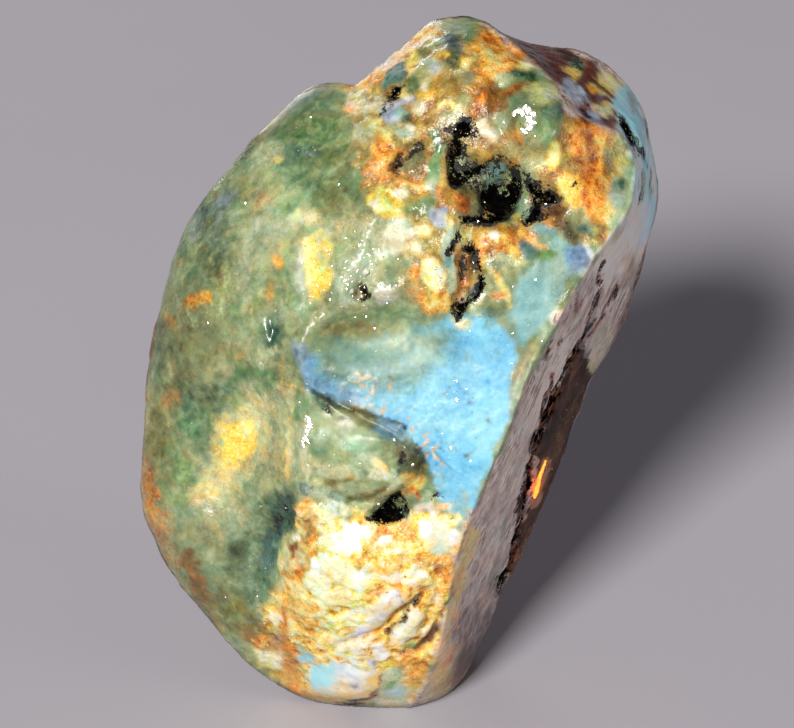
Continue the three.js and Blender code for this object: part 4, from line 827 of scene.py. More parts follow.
pat("e", (412, 84, 9, 10, 0), {"D": .5, "E": .2, "O": .3}, .0, .2)
pat("a", ([(383, 101), (386, 91), (394, 87), (402, 82), (404, 89), (398, 97), (390, 100)], 3), {"K": 1}, 0, .1, amp=.45, strength=1.0)
pat("l", ([(402, 95), (414, 97)], 3), {"Y": .6, "P": .4}, .3, .5)
# a pale lilac line along the ledge: painted highlight
pat("l", ([(378, 108), (388, 104), (400, 101), (414, 100)], 2.8), {"L": .95, "W": .05}, .25, .1, amp=.15)
pat("l", ([(375, 111), (382, 108), (390, 106)], 2.6), {"K": 1}, 0, .1, amp=.3, strength=1.0)
pat("e", (391, 116, 10, 8, 0), {"L": .7, "T": .2, "P": .1}, .1, .1)
pat("e", (402, 112, 7, 6, 0), {"T": .8, "E": .2}, .05, .1)
pat("e", (406, 120, 6, 6, 20), {"D": .7, "K": .3}, -.2, .1)
# a small pale glint: painted highlight
pat("e", (410, 127, 6, 3, 20), {"W": .7, "P": .3}, .3, .2)
pat("e", (396, 129, 8, 6, 0), {"P": .5, "O": .5}, .12, .4)
pat("l", ([(400, 135), (411, 134)], 3), {"T": .8, "P": .2}, -.05, .2)
pat("l", ([(376, 120), (382, 128), (388, 138)], 4), {"Y": .7, "P": .3}, .25, .5)
pat("e", (365, 135, 12, 14, 0), {"P": .6, "G": .25, "Y": .15}, .1, .3)
pat("a", ([(346, 92), (362, 88), (380, 90), (380, 104), (368, 116), (352, 116), (344, 104)], 6), {"P": .35, "Y": .3, "W": .2, "O": .15}, .12, .6)
pat("e", (351, 105, 6, 5, 20), {"F": .5, "W": .3, "R": .2}, .1, .4)
pat("e", (350, 110, 5, 2.4, 0), {"R": .8, "N": .2}, .0, .4)
pat("a", ([(478, 30), (498, 28), (516, 44), (520, 60), (506, 74), (490, 84), (480, 74), (476, 54)], 6), {"R": .9, "Y": .1}, .16, .7)
pat("e", (497, 62, 10, 7, 20), {"R": 1}, .24, .6)
pat("e", (506, 50, 9, 7, 0), {"Y": .8, "R": .2}, .06, .7)
pat("e", (489, 44, 7, 6, 0), {"R": .7, "N": .3}, -.02, .7)
pat("l", ([(510, 46), (524, 56), (536, 68)], 7), {"W": .4, "R": .5, "Y": .1}, .18, .6)
pat("l", ([(520, 66), (528, 68)], 3.6), {"Y": .8, "W": .2}, .3, .5)
pat("l", ([(484, 22), (504, 38), (524, 50), (546, 74), (560, 94)], 3.4), {"R": .7, "N": .3}, .05, .5)
pat("e", (466, 63, 5, 6, 0), {"Y": .7, "W": .3}, .25, .5)
pat("e", (465, 78, 11, 8, 0), {"G": .3, "O": .3, "L": .25, "P": .15}, .0, .3)
pat("a", ([(430, 78), (456, 72), (462, 88), (452, 102), (432, 102), (424, 90)], 5), {"O": .6, "Y": .2, "R": .2}, -.06, .6)
pat("e", (430, 93, 9, 5, 0), {"Y": .8, "R": .2}, .0, .7)
pat("e", (424, 86, 5, 4, 0), {"W": .6, "P": .4}, .2, .5)
pat("a", ([(470, 88), (486, 84), (502, 84), (510, 96), (502, 112), (484, 116), (472, 106)], 5), {"N": .4, "R": .4, "O": .2}, -.05, .6)
pat("l", ([(486, 94), (483, 104)], 3.4), {"R": 1}, .25, .5)
pat("e", (466, 99, 7, 6, 0), {"P": .5, "G": .3, "O": .2}, .05, .4)
pat("e", (470, 112, 12, 5, 5), {"R": .7, "N": .3}, .08, .6)
pat("e", (453, 118, 12, 7, 0), {"P": .35, "W": .3, "O": .35}, .08, .5)
pat("e", (427, 106, 5, 6, 0), {"N": .7, "R": .3}, -.1, .5)
pat("e", (418, 106, 6, 6, 0), {"W": .6, "P": .4}, .15, .5)
pat("e", (438, 110, 7, 4, 0), {"W": .4, "R": .4, "F": .2}, .12, .5)
pat("l", ([(438, 103), (450, 104), (460, 107)], 2.6), {"Y": .8, "W": .2}, .2, .5)
pat("e", (440, 124, 12, 8, 0), {"R": .4, "O": .45, "P": .15}, .05, .6)
pat("a", ([(477, 118), (488, 114), (494, 126), (500, 140), (494, 146), (484, 138), (478, 130)], 3), {"W": .95, "Y": .05}, .4, .4)
pat("l", ([(496, 112), (500, 126), (502, 142)], 3), {"N": .5, "R": .3, "W": .2}, .0, .4)
pat("e", (502, 124, 10, 14, 0), {"P": .5, "G": .35, "W": .15}, .08, .3)
# the knob
pat("a", ([(503, 74), (522, 66), (546, 74), (560, 92), (566, 112), (562, 134), (548, 150), (530, 150), (518, 142), (512, 124), (508, 100)], 5), {"G": .55, "E": .25, "P": .2}, .02, .12)
pat("e", (505, 78, 8, 6, 0), {"P": .6, "G": .3, "O": .1}, .12, .3)
pat("l", ([(514, 72), (524, 74), (533, 77)], 4), {"D": .8, "E": .2}, -.1, .1)
pat("l", ([(506, 92), (514, 86), (528, 86)], 5), {"R": .6, "N": .3, "Y": .1}, -.05, .3)
pat("a", ([(524, 82), (544, 80), (556, 92), (556, 102), (538, 106), (526, 98)], 4), {"P": .4, "Y": .25, "E": .35}, .12, .1)
pat("e", (553, 98, 4, 3, 0), {"L": .5, "P": .5}, .15, .1)
pat("e", (551, 112, 13, 9, -20), {"D": .8, "L": .2}, -.02, .05)
pat("e", (546, 130, 14, 13, 0), {"G": .7, "E": .3}, .0, .05)
pat("e", (517, 122, 6, 10, 0), {"O": .5, "N": .3, "D": .2}, -.15, .1)
pat("e", (520, 134, 7, 4, 10), {"R": 1}, .30, .1)
pat("e", (531, 141, 5, 4, 0), {"W": .5, "R": .4, "L": .1}, .2, .2)
pat("e", (514, 148, 12, 7, 10), {"P": .5, "W": .3, "O": .2}, .05, .3)
pat("e", (534, 160, 16, 12, 10), {"P": .4, "O": .35, "E": .25}, .1, .3)
pat("e", (524, 172, 12, 8, 20), {"G": .5, "D": .2, "P": .3}, .05, .2)
pat("a", ([(549, 144), (557, 142), (561, 152), (558, 166), (550, 170), (547, 158)], 3), {"Y": 1}, .26, .3)
pat("e", (542, 163, 6, 4, 10), {"Y": .85, "W": .15}, .25, .4)
pat("e", (512, 166, 5, 6, 20), {"R": .6, "O": .4}, .0, .3)
# the right shoulder
pat("a", ([(566, 112), (586, 122), (608, 130), (616, 146), (614, 182), (604, 222), (590, 228), (584, 200), (578, 166), (568, 140)], 6), {"R": .72, "O": .13, "Y": .15}, .04, .7)
pat("e", (567, 108, 4, 9, -20), {"R": .9, "W": .1}, .22, .4)
pat("e", (584, 122, 10, 6, 20), {"N": .6, "R": .4}, -.1, .6)
pat("e", (601, 140, 5, 8, 0), {"R": .6, "Y": .4}, .2, .7)
pat("e", (580, 146, 8, 12, 0), {"R": .8, "N": .2}, .06, .7)
pat("l", ([(590, 134), (592, 160), (590, 190)], 4), {"N": .6, "R": .4}, -.08, .6)
pat("l", ([(606, 150), (610, 170)], 3.6), {"O": .6, "N": .4}, -.1, .5)
pat("e", (620, 158, 8, 22, 0), {"O": .45, "Y": .4, "P": .15}, .1, .5)
pat("a", ([(556, 176), (568, 168), (580, 174), (584, 190), (582, 206), (572, 206), (560, 194)], 4), {"Y": .8, "R": .2}, .04, .7)
pat("e", (577, 184, 3.6, 5, 30), {"K": .8, "N": .2}, 0, 0)
pat("e", (614, 194, 9, 12, 20), {"G": .45, "D": .3, "L": .25}, .0, .2)
pat("e", (621, 186, 4, 5, 20), {"D": .8, "K": .2}, -.15, .1)
pat("e", (592, 196, 9, 18, 0), {"R": .85, "Y": .15}, -.02, .7)
pat("e", (604, 214, 6, 14, 10), {"Y": .3, "R": .7}, .0, .6)
pat("e", (578, 222, 16, 8, 20), {"O": .4, "G": .4, "P": .2}, .0, .4)
pat("e", (586, 232, 7, 4, 30), {"D": .6, "T": .4}, -.15, .1)
pat("l", ([(592, 218), (600, 228), (602, 238)], 4), {"N": .6, "R": .4}, -.05, .3)
# below the pit
pat("e", (388, 158, 18, 14, 0), {"R": .8, "Y": .2}, .14, .7)
pat("e", (390, 178, 16, 10, 0), {"R": .5, "O": .3, "N": .2}, .05, .7)
pat("a", ([(396, 164), (408, 156), (420, 150), (426, 160), (422, 174), (404, 174)], 4), {"O": .4, "N": .35, "P": .25}, -.05, .3)
pat("l", ([(393, 166), (402, 157), (412, 152), (420, 142), (425, 146), (420, 156)], 2.8), {"K": .9, "N": .1}, 0, 0, amp=.2)
pat("l", ([(394, 168), (398, 172)], 2.6), {"K": .7, "N": .3}, 0, 0)
pat("e", (374, 172, 8, 12, 0), {"R": .6, "W": .2, "P": .2}, .12, .6)
pat("a", ([(366, 192), (386, 184), (398, 196), (406, 206), (402, 216), (382, 220), (370, 210)], 5), {"Y": .9, "R": .1}, .18, .8)
pat("e", (376, 205, 6, 7, 0), {"W": .5, "Y": .5}, .3, .7)
pat("e", (404, 192, 8, 7, 0), {"W": .7, "Y": .3}, .3, .7)
pat("l", ([(396, 184), (410, 182), (424, 186)], 5), {"R": .6, "Y": .3, "W": .1}, .2, .7)
pat("e", (442, 182, 10, 6, 0), {"R": .5, "Y": .3, "O": .2}, .12, .6)
pat("l", ([(437, 136), (440, 150), (436, 166), (433, 184)], 5), {"E": .7, "T": .2, "P": .1}, .08, .15)
pat("e", (432, 190, 5, 10, 0), {"P": .6, "L": .2, "E": .2}, .1, .3)
pat("e", (452, 196, 9, 14, 0), {"R": .45, "O": .35, "Y": .2}, .05, .6)
pat("e", (420, 208, 16, 9, 0), {"O": .35, "G": .35, "E": .3}, .05, .3)
pat("a", ([(426, 212), (440, 206), (452, 206), (450, 218), (444, 228), (430, 226)], 4), {"L": .85, "P": .15}, .12, .1)
pat("e", (400, 228, 14, 9, 0), {"P": .7, "G": .2, "L": .1}, .15, .3)
pat("e", (424, 231, 10, 7, 0), {"Y": .7, "W": .3}, .22, .6)
pat("e", (449, 224, 4, 10, 0), {"P": .5, "Y": .5}, .2, .4)
pat("e", (436, 246, 10, 8, 0), {"O": .5, "Y": .4, "R": .1}, .08, .6)
pat("e", (418, 248, 10, 8, 0), {"Y": .4, "P": .4, "O": .2}, .15, .4)
pat("l", ([(452, 232), (448, 250), (450, 270), (452, 292)], 6), {"P": .45, "T": .35, "E": .2}, .1, .15)
pat("e", (449, 262, 5, 6, 0), {"T": .7, "D": .3}, -.08, .1)
pat("a", ([(420, 260), (432, 256), (442, 262), (446, 276), (444, 290), (436, 292), (424, 290), (418, 276)], 4), {"Y": .6, "W": .4}, .28, .7)
# a white spot lifted to blown white: painted highlight
pat("e", (438, 273, 5, 4, 20), {"W": 1}, .6, .4)
pat("e", (431, 268, 5, 7, 0), {"Y": .8, "R": .2}, .1, .6)
pat("l", ([(414, 268), (415, 284), (422, 300), (432, 312)], 5), {"R": .85, "Y": .15}, .1, .6)
pat("e", (438, 300, 12, 9, 20), {"R": .5, "Y": .5}, .18, .7)
pat("e", (412, 290, 8, 14, -10), {"O": .5, "R": .3, "P": .2}, .05, .4)
pat("a", ([(470, 228), (500, 222), (520, 236), (520, 252), (500, 256), (484, 252), (474, 244)], 4), {"R": .6, "Y": .2, "O": .2}, -.02, .7)
pat("e", (493, 236, 5, 3.6, 0), {"W": .8, "R": .2}, .3, .5)
pat("l", ([(502, 240), (510, 246), (518, 250)], 4), {"Y": .8, "R": .2}, .04, .6)
pat("l", ([(478, 248), (486, 262), (498, 280)], 4), {"R": .6, "Y": .3, "O": .1}, .14, .6)
pat("e", (504, 262, 14, 8, 0), {"P": .6, "E": .2, "Y": .2}, .12, .3)
pat("e", (495, 263, 7, 5, 0), {"G": .6, "L": .4}, .0, .2)
pat("a", ([(518, 238), (530, 240), (540, 250), (534, 260), (522, 256)], 3), {"T": .6, "D": .4}, -.3, .05)
pat("e", (545, 232, 12, 5, 10), {"T": .8, "D": .2}, -.25, .05)
pat("l", ([(522, 230), (532, 240), (546, 246)], 4), {"R": .6, "Y": .3, "W": .1}, .18, .5)
pat("e", (545, 254, 12, 6, 10), {"E": .7, "Y": .2, "O": .1}, .0, .1)
pat("l", ([(498, 282), (506, 292), (510, 306)], 3.4), {"Y": .5, "P": .5}, .1, .3)
pat("e", (496, 295, 7, 4, 10), {"R": .6, "W": .2, "Y": .2}, .2, .5)
pat("e", (476, 300, 8, 14, 10), {"P": .6, "E": .2, "Y": .2}, .1, .2)
pat("e", (462, 322, 14, 6, 0), {"P": .6, "Y": .25, "R": .15}, .15, .3)
pat("e", (577, 254, 12, 9, 10), {"L": .75, "B": .25}, -.05, .05)
# a thin white-blue arc at the arris: painted highlight
pat("l", ([(586, 244), (591, 258), (588, 272)], 2.6), {"W": .6, "L": .4}, .4, .05)

# burnt pit
pat("a", ([(452, 146), (462, 146), (468, 158), (496, 158), (508, 164), (520, 174), (518, 206), (506, 222), (488, 230), (460, 226), (454, 212), (462, 196), (446, 186), (446, 166)], 6), {"D": .35, "O": .3, "N": .2, "P": .15}, -.2, .2)
pat("e", (452, 195, 8, 9, 0), {"R": .5, "O": .4, "Y": .1}, .0, .5)
pat("e", (467, 205, 6, 12, 10), {"R": .6, "N": .4}, .0, .3)
pat("a", ([(456, 122), (466, 117), (473, 122), (477, 132), (474, 141), (462, 142), (454, 136)], 3), {"K": 1}, 0, .1, amp=.5, strength=1.0)
pat("l", ([(444, 128), (450, 132), (456, 136)], 3.6), {"K": .9, "N": .1}, 0, 0, amp=.3)
pat("l", ([(444, 142), (454, 142)], 2.6), {"K": .7, "N": .3}, 0, 0)
pat("a", ([(451, 144), (460, 145), (466, 152), (469, 164), (470, 176), (466, 186), (456, 189), (447, 184), (449, 168), (450, 154)], 3), {"K": 1}, 0, .1, amp=.5, strength=1.0)
pat("e", (498, 198, 17, 21, 0), {"D": .8, "E": .2}, -.3, .1, amp=.3, strength=1.0)
pat("e", (498, 198, 15, 19, 0), {"K": 1}, 0, .1, amp=.4, strength=1.0)
pat("a", ([(464, 159), (480, 162), (496, 159), (507, 164), (515, 172), (518, 186), (516, 202), (508, 214), (500, 222), (488, 227), (474, 225), (458, 223), (457, 215), (468, 214), (480, 215), (486, 205), (482, 192), (474, 190), (468, 184), (466, 172)], 3), {"K": 1}, 0, .1, amp=.5, strength=1.0)
pat("a", ([(513, 165), (526, 174), (538, 183), (550, 191), (560, 199), (568, 207), (560, 215), (546, 219), (534, 221), (520, 221), (519, 215), (529, 210), (531, 202), (526, 191), (519, 181)], 2), {"K": 1}, 0, .1, amp=.5, strength=1.0)
pat("a", ([(556, 212), (568, 218), (575, 232), (578, 246), (570, 248), (561, 236), (552, 222)], 3), {"N": .55, "K": .2, "O": .25}, -.05, .1)
pat("e", (556, 212, 12, 6, 10), {"N": .6, "O": .3, "K": .1}, .0, .3)
pat("l", ([(468, 219), (460, 228), (456, 240), (450, 253)], 3.2), {"K": 1}, 0, .1, amp=.3, strength=1.0)
pat("a", ([(476, 148), (490, 152), (486, 160), (474, 158), (466, 150), (468, 145)], 3), {"O": .5, "Y": .3, "R": .2}, .1, .3)
pat("l", ([(459, 160), (461, 174)], 2.6), {"G": .6, "P": .4}, -.05, .1)
pat("l", ([(466, 158), (468, 172)], 2.0), {"D": .6, "P": .4}, -.05, .1)
pat("a", ([(485, 171), (494, 167), (503, 170), (507, 177), (505, 183), (498, 180), (490, 180), (485, 187), (482, 182)], 3), {"D": .5, "T": .2, "P": .2, "K": .1}, -.08, .1)
pat("e", (497, 171, 7, 3, 0), {"T": .9, "P": .1}, .05, .05)
pat("e", (478, 184, 6, 4, 10), {"P": .6, "O": .4}, .05, .2)
pat("e", (505, 180, 3, 5, 0), {"O": .5, "P": .5}, .0, .1)
pat("e", (474, 202, 4, 7, 0), {"P": .4, "O": .4, "D": .2}, .0, .2)
pat("e", (488, 210, 2.6, 4, 0), {"Y": .7, "P": .3}, .1, .1)
pat("a", ([(514, 174), (521, 181), (527, 190), (526, 200), (532, 207), (528, 213), (517, 212), (515, 202), (519, 190)], 3), {"P": .35, "E": .35, "T": .2, "D": .1}, .02, .1)
pat("l", ([(466, 245), (475, 256), (480, 270), (480, 288), (474, 300), (462, 306)], 4), {"K": 1}, 0, .1, amp=.45, strength=1.0)
pat("l", ([(465, 250), (463, 268), (462, 286)], 2.8), {"K": .9, "N": .1}, 0, 0, amp=.25)
pat("e", (470, 272, 5.5, 15, 4), {"N": .5, "O": .35, "K": .15}, -.02, .1)
pat("e", (466, 284, 4, 3.6, 0), {"R": .6, "W": .4}, .1, .2)
pat("e", (470, 292, 4, 5, 0), {"L": .6, "D": .4}, -.2, .1)
pat("a", ([(449, 302), (460, 298), (468, 302), (464, 311), (458, 324), (453, 314)], 3), {"K": .95, "N": .05}, 0, 0, amp=.25)
pat("l", ([(460, 300), (464, 302)], 2), {"W": .6, "L": .4}, .2, .1)
Q = Q_BROAD

Q = Q_CLOSE
pat("e", (487, 51, 16, 18, 0), {"R": .92, "Y": .08}, -.04, .6, amp=.8, strength=.8)
pat("e", (452, 86, 17, 12, 0), {"O": .6, "R": .4}, .0, .5, amp=.8, strength=.55)
pat("e", (426, 49, 11, 8, 0), {"E": .6, "Y": .4}, -.12, .3, amp=.8, strength=.7)
pat("e", (543, 92, 15, 9, 0), {"E": .3, "Y": .4, "P": .3}, .16, .2, amp=.8, strength=.55)
Q = Q_BROAD

# lighter and darker places
tone(470, 90, 90, 60, 10, -.08)
# painted light and shade on the flank: its cyan top and upper part lifted lighter, its lower part darker
tone(645, 150, 20, 60, 0, .12)
tone(620, 226, 26, 40, 20, .30)
tone(478, 650, 30, 56, 20, -.40)
tone(312, 372, 24, 20, 40, -.25)
tone(345, 365, 50, 24, 0, -.16)
tone(278, 530, 18, 26, 10, -.25)
tone(346, 455, 52, 34, 15, .22)
tone(362, 255, 40, 40, 0, .16)
tone(274, 238, 34, 40, 0, .44)
tone(282, 430, 14, 60, 0, .18)
tone(180, 230, 60, 90, 20, -.18)
tone(165, 380, 40, 110, 0, -.12)
tone(210, 360, 60, 44, 0, -.16)
tone(300, 170, 50, 50, 0, .08)
tone(355, 325, 50, 30, 0, .14)
tone(462, 488, 22, 26, 10, -.16)
# lighter where the blue meets the crust and the surface turns down from the light: painted light
tone(446, 534, 16, 22, 10, .25)
tone(300, 600, 22, 40, 8, .14)
tone(425, 50, 12, 9, 0, -.10)
tone(396, 73, 12, 9, 0, .12)
tone(238, 186, 20, 16, 0, -.14)
tone(334, 170, 20, 22, 0, .14)
tone(306, 175, 18, 14, 0, .08)
tone(352, 333, 24, 12, 0, -.14)
tone(273, 350, 8, 26, 0, -.2)
tone(280, 528, 16, 18, 0, .10)
tone(157, 504, 10, 30, 0, -.08)
tone(198, 400, 18, 24, 0, .08)
tone(492, 52, 16, 18, 0, .22)
tone(168, 365, 14, 50, 0, .14)
tone(198, 416, 20, 26, 0, .08)
tone(262, 548, 38, 46, 10, .12)
tone(218, 482, 22, 20, 0, .12)
tone(540, 92, 16, 12, 0, .10)
tone(311, 376, 13, 16, 0, .16)
tone(458, 486, 20, 24, 0, .10)
tone(550, 380, 26, 60, 22, .14)
tone(505, 530, 18, 46, 22, .16)
# painted light and shade on the flank again: its upper part lifted lighter, its foot darker
tone(630, 222, 18, 26, 0, .30)
tone(455, 676, 12, 24, 20, -.36)
tone(334, 673, 22, 11, 0, .06)
tone(545, 400, 12, 26, 20, .18)
tone(357, 674, 14, 11, 0, .34)
tone(394, 693, 15, 11, 0, .20)
tone(595, 192, 16, 24, 0, -.12)
tone(576, 256, 12, 14, 10, -.12)
tone(544, 275, 20, 26, -30, -.14)
tone(425, 48, 11, 9, 0, -.12)
tone(238, 186, 18, 20, 0, -.10)
tone(200, 530, 24, 34, 0, -.10)
tone(170, 504, 9, 34, -10, -.05)
tone(430, 350, 22, 22, 0, .02)

# the flank beyond the arris: a film of grey over dark rind, streaked along the lump
flank_w = front_w * smooth(.5 + rim_d / .35)
L_ = dict(where=flank_w)
streak = fbm(np.c_[P @ RIGHT, P @ UP * .14, P @ BACK * .9], 1.1, 4, 151, .6)
streak2 = fbm(np.c_[P @ RIGHT, P @ UP * .10, P @ BACK * 1.2], .55, 3, 157, .6)
across = beyond / (beyond + np.maximum(edge, 0) + 1e-6)     # 0 at the arris, 1 at the far edge
cover(flank_w, {"F": .94, "S": .06})
lift = lift + flank_w * (np.clip(streak, -1, 1) * .12 + .20)
cover(flank_w * smooth((-.44 - streak2) / .14 + .5) * .5, {"S": .5, "N": .2, "F": .3})
cover(flank_w * smooth((.16 - edge) / .2 + .5) * .6, {"S": .7, "N": .3})
DARK = [(606, 384), (598, 368), (588, 352), (574, 350), (562, 382), (550, 412), (538, 443), (526, 490), (520, 527), (509, 580),
        (497, 625), (479, 668), (462, 702), (500, 730), (600, 700), (690, 560), (690, 384)]
dark_d = nearest(Q * .35 + q * .65, cut_corners(DARK, 1, True), np.zeros(len(cut_corners(DARK, 1, True))), True)[0] + 4.6 * fbm(P, 2.4, 4, 421, .6) + 3.4 * fbm(P, 1.0, 3, 427) + 2.0 * streak2 + 1.4 * NF
cover(flank_w * smooth((dark_d + 5) / 3) * smooth((3 - dark_d) / 3) * .85, {"K": .75, "N": .25})
cover(smooth((v[:, 2] - f_edge) / .8 + .9) * smooth(.5 + beyond / .35) * smooth(dark_d / 2.5 + .5), {"S": .9, "A": .1})
lay(("a", [(500, 30), (545, 44), (590, 56), (616, 74), (626, 96), (618, 122), (596, 122), (570, 100), (548, 70), (516, 44)], 6), {"N": .55, "S": .45}, .4, .5, "a", .95, **L_)
lay(("l", [(566, 84), (580, 100), (596, 116)], 6), {"L": .8, "D": .2}, .35, .7, "b", .9, **L_)
lay(("e", 578, 64, 8, 8, 30), {"K": .6, "D": .4}, .35, .5, "b", .9, **L_)
lay(("e", 548, 50, 16, 6, 20), {"N": .6, "G": .2, "L": .2}, .4, .8, "b", .8, **L_)
# the blue and white at the top of the flank, lifted lighter, paint a reflection of pale surroundings: painted
# reflection
lay(("a", [(616, 98), (628, 84), (638, 100), (648, 124), (654, 150), (662, 185), (662, 215), (655, 238), (640, 234), (636, 205), (632, 185), (631, 160), (628, 148), (616, 126)], 4), {"L": .12, "B": .76, "W": .12}, .4, .5, "a", .97, up=.5, **L_)
# the upper flank lifted lighter, with white, where it catches the light: painted light
lay(("a", [(630, 192), (650, 200), (648, 240), (630, 270), (610, 288), (592, 292), (598, 250), (612, 228)], 6), {"F": .38, "W": .56, "O": .06}, .45, .6, "a", .92, up=.42, **L_)
lay(("a", [(560, 330), (576, 346), (566, 372), (548, 410), (530, 446), (512, 440), (528, 400), (544, 362)], 8), {"F": .80, "W": .12, "R": .08}, .5, .6, "a", .85, up=.24, **L_)
lay(("a", [(524, 440), (534, 452), (526, 490), (512, 500), (506, 486), (514, 460)], 6), {"F": .88, "W": .12}, .5, .6, "a", .85, up=.2, **L_)
Q = Q_CLOSE
def streaks(*rows):
    for line, w, mix, up in rows:
        lay(("l", line, w), mix, .32, .8, "b", .9, up=up, **L_)


def spots(*rows):
    for shape, mix, up in rows:
        lay(shape, mix, .36, .7, "b", .88, up=up, **L_)


spots((("e", 572, 73, 8, 6, 30), {"Y": .7, "R": .3}, .05), (("e", 594, 89, 6, 8, 0), {"R": .5, "Y": .5}, .05), (("e", 612, 82, 14, 10, 40), {"Y": .65, "P": .2, "R": .15}, .12),
      (("e", 604, 109, 10, 8, 20), {"Y": .45, "R": .2, "P": .35}, .10), (("e", 586, 108, 6, 9, -30), {"K": .4, "N": .6}, -.1), (("e", 600, 97, 5, 4, 0), {"L": .6, "N": .4}, .0),
      (("e", 627, 107, 9, 12, -10), {"L": .75, "B": .25}, .18), (("a", [(640, 200), (654, 196), (656, 220), (648, 242), (640, 250), (636, 236)], 4), {"L": .4, "W": .42, "B": .18}, .2),
      (("a", [(624, 206), (632, 212), (626, 232), (612, 244), (608, 240), (616, 222)], 4), {"F": .5, "O": .3, "N": .2}, -.16), (("e", 630, 226, 7, 10, 20), {"W": .5, "L": .2, "F": .3}, .3),
      (("a", [(622, 248), (640, 252), (634, 280), (620, 294), (612, 282)], 5), {"F": .55, "N": .25, "O": .2}, -.12), (("a", [(600, 322), (616, 324), (608, 352), (592, 382), (588, 352)], 4), {"F": .5, "P": .25, "O": .25}, .02),
      (("e", 578, 308, 5, 13, 24), {"N": .7, "K": .3}, -.1), (("e", 582, 366, 7, 14, 20), {"S": .9, "N": .1}, -.2), (("e", 553, 420, 5, 22, 22), {"S": .8, "N": .2}, -.2),
      (("e", 498, 580, 7, 14, 20), {"D": .35, "F": .45, "K": .2}, -.05), (("e", 480, 640, 26, 34, 20), {"F": .66, "N": .26, "D": .08}, -.2), (("e", 460, 672, 13, 28, 22), {"N": .6, "R": .25, "F": .15}, -.1),
      (("e", 442, 676, 12, 20, 15), {"P": .3, "E": .2, "R": .25, "Y": .25}, .12), (("e", 438, 694, 12, 10, 20), {"R": .4, "O": .3, "P": .3}, .08), (("e", 452, 656, 6, 14, 18), {"R": .5, "P": .3, "F": .2}, .05))
# blue and white streaks lifted lighter along the top of the flank: painted reflection
streaks(([(626, 92), (634, 112), (640, 132), (645, 152), (649, 176), (650, 200)], 6.5, {"B": .9, "W": .1}, .7), ([(618, 104), (628, 124), (636, 142), (641, 166), (642, 190)], 4.6, {"B": .9, "L": .1}, .5))
streaks(([(641, 110), (643, 122), (643, 134)], 3.4, {"W": .9, "B": .1}, .5), ([(646, 144), (649, 160), (650, 176)], 3.6, {"W": .85, "B": .15}, .5), ([(635, 150), (637, 172), (637, 198)], 3.4, {"W": .85, "B": .15}, .5),
        ([(645, 178), (645, 198)], 3, {"B": .55, "W": .45}, .25), ([(653, 168), (655, 192), (655, 216), (650, 234)], 4.5, {"B": .85, "W": .15}, .7), ([(620, 117), (627, 131), (634, 145), (643, 162)], 2.8, {"K": .85, "D": .15}, -.1), ([(640, 174), (640, 199)], 2.6, {"D": .55, "K": .45}, -.3),
        ([(651, 172), (652, 197)], 2.8, {"D": .55, "K": .45}, -.2), ([(630, 94), (632, 112)], 2.4, {"D": .6, "L": .4}, -.1), ([(655, 170), (655, 198)], 2.8, {"W": .85, "B": .15}, .5), ([(644, 124), (648, 140)], 2.2, {"K": .6, "D": .4}, -.2), ([(626, 136), (634, 156)], 2.2, {"L": .6, "K": .4}, -.2),
        # the first streak on the next line and the first on the line after it are painted highlights along the arris
        ([(628, 190), (618, 214), (608, 238), (605, 262)], 4.2, {"W": .45, "F": .35, "R": .2}, .28), ([(628, 244), (618, 254), (609, 264)], 3.6, {"W": .6, "F": .4}, .32), ([(621, 266), (618, 277)], 3.2, {"W": .5, "F": .5}, .25),
        ([(597, 236), (597, 254)], 3, {"W": .5, "B": .5}, .35), ([(602, 262), (600, 290), (595, 310), (586, 338), (575, 352)], 2.6, {"K": .7, "N": .3}, -.1), ([(617, 287), (600, 320), (590, 337)], 2.4, {"N": .6, "K": .4}, -.05),
        ([(563, 338), (551, 384), (540, 420)], 1.8, {"K": .5, "N": .5}, -.05), ([(550, 342), (547, 358)], 2.4, {"N": .6, "K": .4}, .0), ([(527, 405), (520, 425), (515, 443)], 2.8, {"N": .9, "K": .1}, .05),
        ([(572, 352), (560, 384), (550, 408), (537, 443)], 3, {"K": .85, "N": .15}, -.1), ([(533, 452), (527, 500), (512, 560), (498, 592)], 2.8, {"K": .8, "N": .2}, -.1), ([(537, 456), (531, 492), (524, 520)], 1.3, {"F": .7, "N": .3}, .0),
        ([(588, 296), (570, 334), (556, 368)], 3.2, {"F": .7, "W": .3}, .2), ([(540, 376), (528, 402), (514, 440)], 3.4, {"F": .8, "W": .2}, .15), ([(508, 470), (498, 506), (486, 548)], 3, {"F": .8, "W": .2}, .12),
        ([(472, 534), (464, 560), (455, 592), (449, 620)], 8, {"R": .62, "Y": .22, "F": .16}, .22), ([(452, 606), (447, 630), (444, 650)], 7, {"P": .25, "R": .5, "F": .25}, .2), ([(505, 520), (500, 548), (490, 580)], 2.4, {"F": .4, "D": .4, "N": .2}, -.1))
# a clear amber patch over the painted glow, so that it shows through the dark rind
lay(("l", [(546, 463), (540, 482), (534, 503)], 4.4), {"A": 1}, .3, .2, "b", 1, up=-.2, **L_)
Q = Q_BROAD

